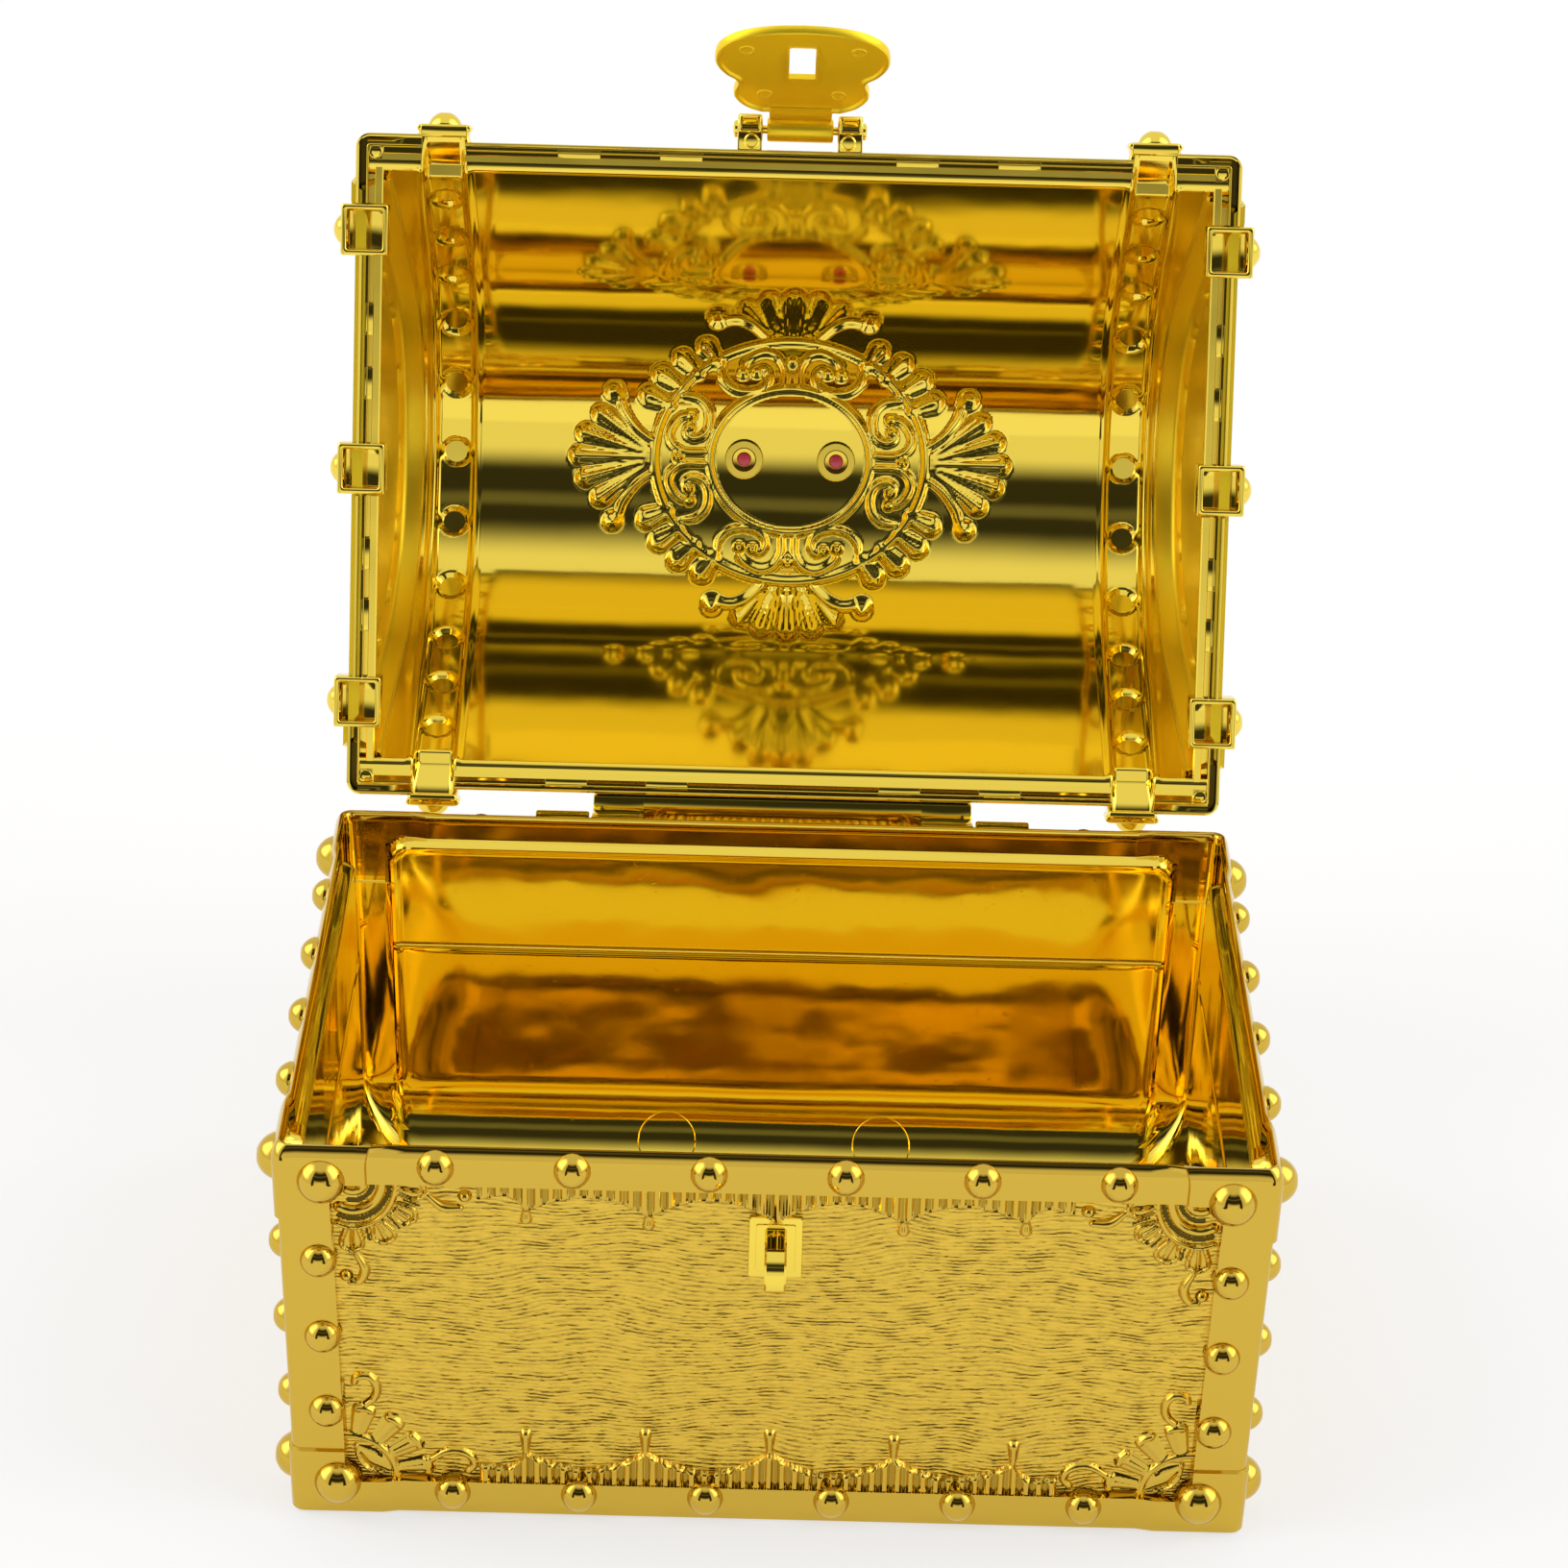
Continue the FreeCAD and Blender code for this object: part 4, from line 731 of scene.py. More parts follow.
def base_ring(s, z, shrink, corner, step):
    """One level ring round the base. step gives the stand-out from the inset and the height."""
    wide = s.half_width - drawn_in(s, z) - shrink
    deep = s.half_depth - drawn_in(s, z) - shrink
    near = np.array(base_places(s))
    ring = []
    for number, face in enumerate(FACES):
        full = face_half(s, face)
        half, lines = (wide, LONG_LINES) if full == s.half_width else (deep, SHORT_LINES)
        side = full - near
        middle = np.linspace(-side[-1], side[-1], lines)[1:-1]
        along = np.concatenate([-side, middle, side[::-1]]) / (full - s.corner) * (half - corner)
        out = step(half - np.abs(along), np.full(along.shape, z))
        ring += [set_on(face, a, wide + o, deep + o, z) for a, o in zip(along, out)]
        sign_x, sign_y = CORNERS[number]
        radius = corner + float(step(np.array([0.0]), np.array([z]))[0])
        for share in CORNER_SHARES:
            turn = math.pi / 2 * (number - 1 + share)
            ring.append((sign_x * (wide - corner) + radius * math.cos(turn),
                         sign_y * (deep - corner) + radius * math.sin(turn), z))
    return ring


def base_shell(s):
    """Rings over the outside of the base, its rim, its inside and the cove down to the floor."""
    top, ledge, cove_top = s.height, s.height - s.top_band + s.wall, s.floor + s.cove

    def outside(z, shrink=0.0, past=0.0):
        """Ring on the outside."""
        return base_ring(s, z, shrink, s.corner, lambda inset, h: outer_step(s, inset + past, h))

    def inside(z, shrink, corner=INNER_CORNER, level=None):
        """Ring on the inside, which stands out as its walls do at a level, where one is given."""
        def step(inset, h):
            return inner_step(s, inset + shrink, h if level is None else np.full(h.shape, level))

        return base_ring(s, z, s.wall + shrink, corner, step)

    rows = [SMOOTH_RIM[0][1]] + list(np.linspace(3, top - RIM_CLEAR, 18))
    for level in (s.foot_band, s.foot_bracket, top - s.top_bracket, top - s.top_band):
        rows += [level - EDGE, level + EDGE]
    rings = [outside(rise, shrink, shrink) for shrink, rise in SMOOTH_RIM[:0:-1]]
    rings += [outside(z) for z in sorted(rows)]
    rings += [outside(top - drop, shrink) for shrink, drop in ROUND_RIM]
    rings += [inside(top - drop, -shrink) for shrink, drop in SMOOTH_RIM[::-1]]
    rows = [top - 2.0, ledge + 0.6, ledge + 0.2] + list(ledge - np.arange(0.05, 6.2, 0.4))
    rows += list(np.linspace(ledge - 8.0, cove_top, 14))
    for level in (top - s.top_bracket, s.foot_bracket):
        rows += [level + EDGE, level - EDGE]
    rows += list(CREASE + np.arange(-1.5, 1.6, 0.25))
    rings += [inside(z, 0.0) for z in sorted(rows, reverse=True) if z >= cove_top]
    for turn in np.linspace(0, math.pi / 2, 18)[1:]:
        shrink = s.cove * (1 - math.cos(turn))
        level, corner = cove_top - s.cove * math.sin(turn), INNER_CORNER + 0.5 * shrink
        rings.append(inside(level, shrink, corner, cove_top))
    return np.array(rings)


NEAR = 0.05


def base_shading(s, x, y, z):
    """Which material a place on the base takes: 0 on its bands and 1 on its panels, both painted-shade copies
    of the gold, 2 inside in the bright gold.
    """
    wide, deep = s.half_width - drawn_in(s, z), s.half_depth - drawn_in(s, z)
    on_long = abs(abs(y) - (deep - s.panel_inset)) < NEAR and abs(x) < wide - s.post
    on_cross = abs(abs(x) - (wide - s.panel_inset)) < NEAR and abs(y) < deep - s.post
    if s.foot_band < z < s.height - s.top_band and (on_long or on_cross):
        return 1
    inset = max(drawn_in(s, z) + s.wall - 0.7, s.panel_inset + 0.3)
    within = abs(x) < s.half_width - inset and abs(y) < s.half_depth - inset
    return 2 if within and z > 1.0 else 0


EJECTOR_PLACE, EJECTOR_RADIUS, EJECTOR_TURN, EJECTOR_LINE = 20.3, 5.4, 40.0, 0.13


def ejector_ring(s, side):
    """Round mark of a moulding pin on the cove at the back: its path and the way it faces."""
    cove_top, middle = s.floor + s.cove, math.radians(EJECTOR_TURN)
    path = []
    for a in np.linspace(0, 2 * math.pi, 40, endpoint=False):
        turn = middle + EJECTOR_RADIUS * math.sin(a) / s.cove
        z = cove_top - s.cove * math.sin(turn)
        y = s.half_depth - drawn_in(s, z) - s.wall - s.panel_inset - s.cove * (1 - math.cos(turn))
        path.append((side * EJECTOR_PLACE + EJECTOR_RADIUS * math.cos(a), y, z))
    return path, (0, -math.cos(middle), math.sin(middle))


class CHEST_OT_base(bpy.types.Operator):
    """Moulded base: bands, brackets, recessed panels, rounded ledge inside and coved floor"""
    bl_idname = "chest.base"
    bl_label = "Base"

    def execute(self, context):
        s, looks = chest(context), finishes(context)
        stock = Stock()
        stock.sheet(base_shell(s), wrap_columns=True, ends=("first", "last"))
        line = [(EJECTOR_LINE, 0), (0, EJECTOR_LINE), (-EJECTOR_LINE, 0), (0, -EJECTOR_LINE)]
        for side in (-1, 1):
            ring, facing = ejector_ring(s, side)
            stock.sweep(ring, line, facing, closed=True)
        piece = make_piece("base_shell", stock, "base",
                           [looks["gilt_base_shaded"], looks["gilt_grain_shaded"], looks["gilt_inside"]],
                           stands_for=["base_tub"], sharp=30.0)
        # The outside takes the painted-shade golds and the inside the bright gold
        for face in piece.data.polygons:
            face.material_index = base_shading(s, *(c / MM for c in face.center))
        return {"FINISHED"}


class CHEST_OT_base_ornament(bpy.types.Operator):
    """Fans, shells and fluted valances carved on the four panels of the base"""
    bl_idname = "chest.base_ornament"
    bl_label = "Base ornament"

    fan_step, flute_step, flute_rise = 0.24, 0.26, 0.36
    fan_wide, fan_tall, flute_tall, margin = 24.5, 22.5, 13.0, 0.4
    spread_long, spread_short, cusp_fall = (-41.2, -21.0, 0.0, 21.0, 41.2), (-20.5, 0.0, 20.5), 0.03
    top_clear, top_depth, top_shallow, top_bead = 24.0, 6.3, 2.2, 1.6
    foot_clear, foot_depth, foot_shallow, foot_bead = 22.6, 7.0, 2.7, 3.4

    def patch(self, s, stock, face, relief, x_span, z_span, x_step, z_step, mark):
        """A patch of relief over spans along and up a panel; mark is the material of its hollows, which holds
        painted shade.
        """
        across, up = np.meshgrid(np.arange(x_span[0], x_span[1] + x_step, x_step),
                                 np.arange(z_span[0], z_span[1] + z_step, z_step))
        field, hollow = relief(across, up)
        field[0, :] = field[-1, :] = field[:, 0] = field[:, -1] = -SUNK
        start = len(stock.marks)
        stock.relief(np.stack(on_face(s, face, across, up, field - s.panel_inset), axis=-1))
        cells = hollow[:-1, :-1] & hollow[1:, :-1] & hollow[:-1, 1:] & hollow[1:, 1:]
        stock.marks[start:start + cells.size] = (mark * cells).reshape(-1).tolist()

    def fan(self, s, stock, face, side, shape, half, band, way, hollows=()):
        """Corner ornament of a panel: side is left or right, way up or down from a band."""
        strokes = moved(shape, -side, way, side * half, band)
        dark = moved(hollows, -side, way, side * half, band)
        x_span = sorted((side * (half + self.margin), side * (half - self.fan_wide)))
        z_span = sorted((band - way * self.margin, band + way * self.fan_tall))

        def relief(x, z):
            """Height of the ornament, and its hollows painted dark as painted shade."""
            field, low = raised(strokes, x, z), raised(dark, x, z)
            hollow = (low > 0) & (field < 0.55)
            return np.where(hollow, np.minimum(np.maximum(field, low), 0.1), field), hollow

        self.patch(s, stock, face, relief, x_span, z_span, self.fan_step, self.fan_step, 1)

    def flutes(self, s, stock, face, reach, cusps, shallow, bead_out, band, way):
        """Fluted valance of a panel, hanging from or standing on a band."""
        x_span = (-reach - 1, reach + 1)
        z_span = sorted((band - way * self.margin, band + way * self.flute_tall))

        def relief(x, z):
            """Height of the valance, and its shaded scoops."""
            return valance(x, way * (z - band), reach, cusps, shallow, bead_out)

        self.patch(s, stock, face, relief, x_span, z_span, self.flute_step, self.flute_rise, 2)

    def execute(self, context):
        s, looks = chest(context), finishes(context)
        top, foot = s.height - s.top_band, s.foot_band
        # The panels' ornament takes the painted-shade gold, with painted shade in the fans' hollows and the
        # flutes' scoops
        marked = [looks["gilt_base_shaded"], looks["gilt_recess_shade"], looks["gilt_shade"]]
        for face in FACES:
            stock = Stock()
            half = face_half(s, face)
            top_half = half - drawn_in(s, top) - s.post
            foot_half = half - drawn_in(s, foot) - s.post
            for side in (-1, 1):
                self.fan(s, stock, face, side, top_fan(), top_half, top, -1, top_fan_shaded_hollows())
                self.fan(s, stock, face, side, foot_fan(), foot_half, foot, 1)
            spread = self.spread_long if half == s.half_width else self.spread_short
            cusps = [(x, self.top_depth - self.cusp_fall * abs(x)) for x in spread]
            self.flutes(s, stock, face, top_half - self.top_clear, cusps, self.top_shallow, self.top_bead,
                        top, -1)
            cusps = [(x, self.foot_depth - self.cusp_fall * abs(x)) for x in spread]
            self.flutes(s, stock, face, foot_half - self.foot_clear, cusps, self.foot_shallow, self.foot_bead,
                        foot, 1)
            make_piece(f"panel_ornament_{face}", stock, "base", marked, sharp=60.0)
        return {"FINISHED"}


def dome(width, rise):
    """Profile of a round-topped stud with a soft foot and a small sunk middle."""
    half, dimple, sink = width / 2, 0.155 * width, 0.17
    ball = (half ** 2 + rise ** 2) / (2 * rise)
    profile = [(half, -1.2), (half, 0.05)]
    for share in (0.97, 0.9, 0.8, 0.67, 0.53, 0.4, 0.32, 0.29, 0.22, 0.12, 0.02):
        radius = share * half
        bowl = sink * math.sqrt(max(0.0, 1 - (radius / dimple) ** 2))
        profile.append((radius, math.sqrt(ball ** 2 - radius ** 2) - ball + rise - bowl))
    return profile


class CHEST_OT_base_studs(bpy.types.Operator):
    """Domed studs on the bands, posts and brackets of the base"""
    bl_idname = "chest.base_studs"
    bl_label = "Base studs"

    rim_pitch, foot_pitch, post_pitch = 22.4, 21.4, 15.0
    big_inset, big_drop, post_inset, foot_rise = 7.6, 6.2, 6.4, 4.3

    def execute(self, context):
        s, looks = chest(context), finishes(context)
        small, big = dome(s.stud, s.stud_rise), dome(s.big_stud, s.big_stud_rise)
        middle = (s.height - s.top_bracket + s.foot_bracket) / 2
        rim = s.height - s.top_band / 2
        for face, normal in FACES.items():
            stock = Stock()
            half = face_half(s, face)
            count = 6 if half == s.half_width else 4
            for i in range(count):
                step = i - (count - 1) / 2
                if face != "back" or i in (0, count - 1):
                    stock.lathe(small, on_face(s, face, step * self.rim_pitch, rim, 0), normal)
                stock.lathe(small, on_face(s, face, step * self.foot_pitch, self.foot_rise, 0), normal)
            for side in (-1, 1):
                for i in (-1, 0, 1):
                    z = middle + i * self.post_pitch
                    along = side * (half - drawn_in(s, z) - self.post_inset)
                    stock.lathe(small, on_face(s, face, along, z, 0), normal)
                for z in (s.height - self.big_drop, self.big_drop):
                    along = side * (half - drawn_in(s, z) - self.big_inset)
                    stock.lathe(big, on_face(s, face, along, z, s.bracket_proud), normal)
            # The studs take the painted-shade copy of the gold
            make_piece(f"studs_{face}", stock, "base", [looks["gilt_base_shaded"]], sharp=60.0)
        return {"FINISHED"}


HINGE_SPREAD, EAR_WIDTH, EAR_RADIUS, KNUCKLE_RADIUS, HINGE_PLAY = 36.2, 10.0, 5.0, 4.2, 0.3
HINGE_PIN = 1.5
EAR_RIB, EAR_RIB_DROP, EAR_RIB_REACH = 1.0, 11.0, 5.0
RAIL_REACH = 4.0
SLIP = 0.06


def soft_rod(radius, half, soft=0.4):
    """Profile of a round bar with softened ends, about its middle."""
    return [(radius - soft, -half), (radius - soft * 0.3, -half + soft * 0.3), (radius, -half + soft),
            (radius, half - soft), (radius - soft * 0.3, half - soft * 0.3), (radius - soft, half)]


class CHEST_OT_hinge(bpy.types.Operator):
    """Hinge: ears of the base, knuckles and rail of the lid, and two steel pins"""
    bl_idname = "chest.hinge"
    bl_label = "Hinge"

    def execute(self, context):
        s, looks = chest(context), finishes(context)
        ears, knuckles = Stock(), Stock()
        wall = s.half_depth - drawn_in(s, HINGE_Z) - 0.5
        half, across = EAR_WIDTH / 2 - SLIP, (1, 0, 0)
        for side in (-1, 1):
            middle = side * (HINGE_SPREAD + EAR_WIDTH / 2)
            ears.lathe(soft_rod(EAR_RADIUS, EAR_WIDTH / 2), (middle, HINGE_Y, HINGE_Z), across, 32)
            ears.block((middle - half, wall, HINGE_Z - EAR_RADIUS),
                       (middle + half, HINGE_Y, HINGE_Z + EAR_RADIUS), 0.4)
            ears.block((middle - EAR_RIB, wall, HINGE_Z - EAR_RIB_DROP),
                       (middle + EAR_RIB, wall + EAR_RIB_REACH, HINGE_Z), 0.3)
            middle = side * (HINGE_SPREAD - HINGE_PLAY - EAR_WIDTH / 2)
            knuckles.lathe(soft_rod(KNUCKLE_RADIUS, EAR_WIDTH / 2), (middle, HINGE_Y, HINGE_Z), across, 32)
            knuckles.block((middle - half, HINGE_Y - KNUCKLE_RADIUS, HINGE_Z),
                           (middle + half, HINGE_Y + KNUCKLE_RADIUS, s.rim_top), 0.4)
            knuckles.block((middle - half + SLIP, s.half_depth - 1, s.lid_low + SLIP),
                           (middle + half - SLIP, HINGE_Y - 1, s.rim_top - SLIP), 0.4)
        inner = HINGE_SPREAD - HINGE_PLAY - EAR_WIDTH
        knuckles.block((-inner - 1, s.half_depth - 1, s.lid_low + 2 * SLIP),
                       (inner + 1, s.half_depth + RAIL_REACH, s.rim_top - 2 * SLIP), 0.4)
        make_piece("hinge_ears", ears, "base", [looks["gilt_bright"]])
        make_piece("hinge_knuckles", knuckles, "lid", [looks["gilt_bright"]], at=LID_AT_REST)
        for word, side in SIDES:
            pin = Stock()
            rod = soft_rod(HINGE_PIN, EAR_WIDTH + HINGE_PLAY / 2 + 2 * SLIP, 0.25)
            pin.lathe(rod, (side * (HINGE_SPREAD - HINGE_PLAY / 2), HINGE_Y, HINGE_Z), across, 20)
            node = f"hinge_pin_{word}"
            make_piece(f"pin_{word}", pin, "base", [looks["pin_steel"]], stands_for=[node])
        return {"FINISHED"}


STAPLE_DROP = 21.3


class CHEST_OT_staple(bpy.types.Operator):
    """Staple on the front: bevelled plate and a strap loop that passes through the hasp"""
    bl_idname = "chest.staple"
    bl_label = "Staple"

    width, height, thickness, bevel_edge = 9.0, 11.6, 1.4, 1.2
    loop_width, loop_height, loop_wire, loop_reach, loop_soft = 3.6, 8.0, 1.7, 7.0, 0.35
    peg_radius, peg_length, peg_inset = 1.0, 3.4, 2.0

    def execute(self, context):
        s, looks = chest(context), finishes(context)
        stock = Stock()
        z = PIN_Z - STAPLE_DROP
        wide, tall = self.width / 2, self.height / 2
        back = -(s.half_depth - drawn_in(s, z - tall) - s.panel_inset - 0.3)
        front = back - self.thickness
        stock.block((-wide, front, z - tall), (wide, back, z + tall), 0.45)
        wide, tall = wide - self.bevel_edge, tall - self.bevel_edge
        stock.block((-wide, front - 0.35, z - tall), (wide, front + 0.3, z + tall), 0.3)
        arm = self.loop_height / 2 - self.loop_wire / 2
        nose = PIN_Y - self.loop_reach + self.loop_height / 2
        turn = np.linspace(math.pi / 2, 3 * math.pi / 2, 15)
        path = [(0, y, z + arm) for y in np.linspace(front + 0.4, nose, 5)[:-1]]
        path += [(0, nose + arm * math.cos(t), z + arm * math.sin(t)) for t in turn]
        path += [(0, y, z - arm) for y in np.linspace(nose, front + 0.4, 5)[1:]]
        a, b, soft = self.loop_width / 2, self.loop_wire / 2, self.loop_soft
        half = [(-a, -b + soft), (-a + soft, -b), (a - soft, -b), (a, -b + soft)]
        stock.sweep(path, half + [(-x, -y) for x, y in half])
        for step in (-1, 1):
            place = (0, back - 0.2, z + step * (self.height / 2 - self.peg_inset))
            stock.lathe([(self.peg_radius, 0), (self.peg_radius, self.peg_length)], place, (0, 1, 0), 12)
        make_piece("staple", stock, "base", [looks["gilt_bright"]], stands_for=["hasp_staple"])
        return {"FINISHED"}


# Lid

STRAP_PITCH, STRAP_STUDS, DIMPLE, DIMPLE_DEPTH = 14.0, 5, 3.0, 1.5
FOOT_HOLLOW = 4.6
PEG_PLACE = 9.1
PEG_BOSS = (3.5, 0.6), (3.8, -1.2), (3.6, -1.6), (2.4, -1.6), (2.2, -1.3), (1.5, -1.2)
STUD_NIB = (0.6, -0.4), (0.6, 0.05), (0.45, 0.28), (0.1, 0.36)
MEDALLION_X, MEDALLION_RUN, LAST_COLUMN = 48.5, 51.0, 74.6


def scroll(flip):
    """Two C-scrolls of the medallion that lock together: x along the ring, y out from it."""
    upper = curved([(1.4, -4.4, 0.75), (1.4, -0.8, 0.8), (2.9, 1.6, 0.85), (5.3, 2.4, 0.9), (7.7, 1.6, 0.85),
                    (9.4, 0.1, 0.8), (9.7, -1.6, 0.7)])
    lower = curved([(14.2, -0.2, 0.55), (13.6, -3.2, 0.8), (11.2, -5.2, 0.85), (7.7, -5.5, 0.9),
                    (5.2, -4.3, 0.85), (4.5, -2.2, 0.8), (5.6, -0.8, 0.75), (6.8, -1.4, 0.7)])
    balls = [stroke([(9.7, -1.9, 1.2)], 1.0), stroke([(7.0, -1.6, 1.2)], 1.0)]
    return moved([stroke(upper, 0.9), stroke(lower, 0.9), *balls], flip, 1)


def placed(strokes, angle, radius_x, radius_y, squeeze=1.0):
    """Strokes set on an oval at an angle, their y pointing out of it."""
    middle_x, middle_y = radius_x * math.cos(angle), radius_y * math.sin(angle)
    c, d = math.cos(angle - math.pi / 2), math.sin(angle - math.pi / 2)

    def at(x, y, half):
        return middle_x + (x * c * squeeze - y * d), middle_y + (x * d * squeeze + y * c), half

    return [([at(*point) for point in points], rise) for points, rise in strokes]


def shell_lobe(root, tip, narrow, wide, knob):
    """Plump lobe of a shell, from its root to its tip, with two fine grooves and a round knob."""
    run = math.dist(root, tip)
    ahead = ((tip[0] - root[0]) / run, (tip[1] - root[1]) / run)
    beside = (-ahead[1], ahead[0])

    def at(out, side):
        return root[0] + out * ahead[0] + side * beside[0], root[1] + out * ahead[1] + side * beside[1]

    strokes = [stroke([(*root, narrow), (*at(run - wide, 0), wide)], 0.5)]
    for side in (-1, 1):
        groove = [(*at(0.8, side * 0.3 * narrow), 0.3), (*at(run - wide, side * 0.34 * wide), 0.42)]
        strokes.append(stroke(groove, -0.75))
    strokes.append(stroke([(*at(run - knob, 0), knob)], 0.85))
    return strokes


def curl_end(points, ball):
    """A curling stem that ends in a ball with a raised rim."""
    return [stroke(curved(points), 0.95), stroke([(*ball, 2.3)], 0.55), stroke([(*ball, 0.9)], 1.9)]


SCROLL_OVAL = 21.6, 18.9
SIDE_TIPS = (44.0, 0), (42.6, 4.9), (42.6, -4.9), (39.2, 9.3), (39.2, -9.3)
SIDE_CURL = (27.7, 3.4, 0.7), (30.6, 5.6, 0.9), (33.0, 8.8, 1.0), (33.8, 11.0, 1.0)
SIDE_BALL = 34.9, 12.6
END_TIPS = (0.0, 34.4, 3.0), (5.6, 33.8, 2.7), (10.4, 31.6, 2.5)
END_CURL = (4.8, 24.2, 0.9), (7.6, 26.6, 1.0), (10.6, 27.8, 1.0), (13.0, 27.6, 1.0)
END_BALL = 14.8, 28.0
CORNER_TIPS = (18.4, 24.0), (23.4, 21.3), (27.5, 17.6), (30.2, 13.0)


def medallion():
    """Strokes of the crown medallion: rings, scrolls, beads, shells and corner lobes."""
    strokes = [arc(16.0, 14.1, 0.85, 0.8, steps=73), arc(27.0, 23.5, 0.95, 0.85, steps=73)]
    for quarter in range(4):
        angle = quarter * math.pi / 2
        squeeze = 1.0 if quarter % 2 else 0.86
        for flip in (-1, 1):
            strokes += placed(scroll(flip), angle, *SCROLL_OVAL, squeeze)
        strokes += placed([stroke([(0, 0.6, 1.3)], 0.95)], angle, *SCROLL_OVAL)
    for side in (-1, 1):
        for x, y in SIDE_TIPS:
            strokes += moved(shell_lobe((28.0, 0.14 * y), (x, y), 0.8, 2.5, 1.7), side)
        for flip in (-1, 1):
            quarter = curl_end(SIDE_CURL, SIDE_BALL) + curl_end(END_CURL, END_BALL)
            for x, y in CORNER_TIPS:
                quarter += shell_lobe((0.8 * x, 0.8 * y), (x, y), 1.6, 2.55, 1.3)
            for x, y, half in END_TIPS:
                quarter += shell_lobe((0.42 * x, 24.8), (x, y), 1.0, half, 1.5)
            strokes += moved(quarter, side, flip)
    return strokes


def barrel_columns(s):
    """Places across the lid, close together on the medallion and the straps."""
    medallion_lines = list(np.arange(0, MEDALLION_X + 0.1, 0.42))
    strap_lines = list(np.arange(s.strap_place - 6.4, s.strap_place + 6.2, 0.45))
    half = np.array(medallion_lines + [50, 53, 56, 58.5] + strap_lines + [73.2, LAST_COLUMN])
    return np.concatenate([-half[:0:-1], half])


def barrel_runs(s):
    """Runs over the lid from front to back, close together on the medallion."""
    limit = run_down_to(s, s.lid_low + 0.9, -s.wall)
    middle = np.linspace(0, MEDALLION_RUN, 122)
    outer = np.linspace(MEDALLION_RUN, limit, 50)[1:]
    half = np.concatenate([middle, outer])
    return np.concatenate([-half[:0:-1], half])


def soft_step(value):
    """Smooth rise from 0 to 1 while a value goes from -0.5 to 0.5."""
    t = np.clip(value + 0.5, 0, 1)
    return t * t * (3 - 2 * t)


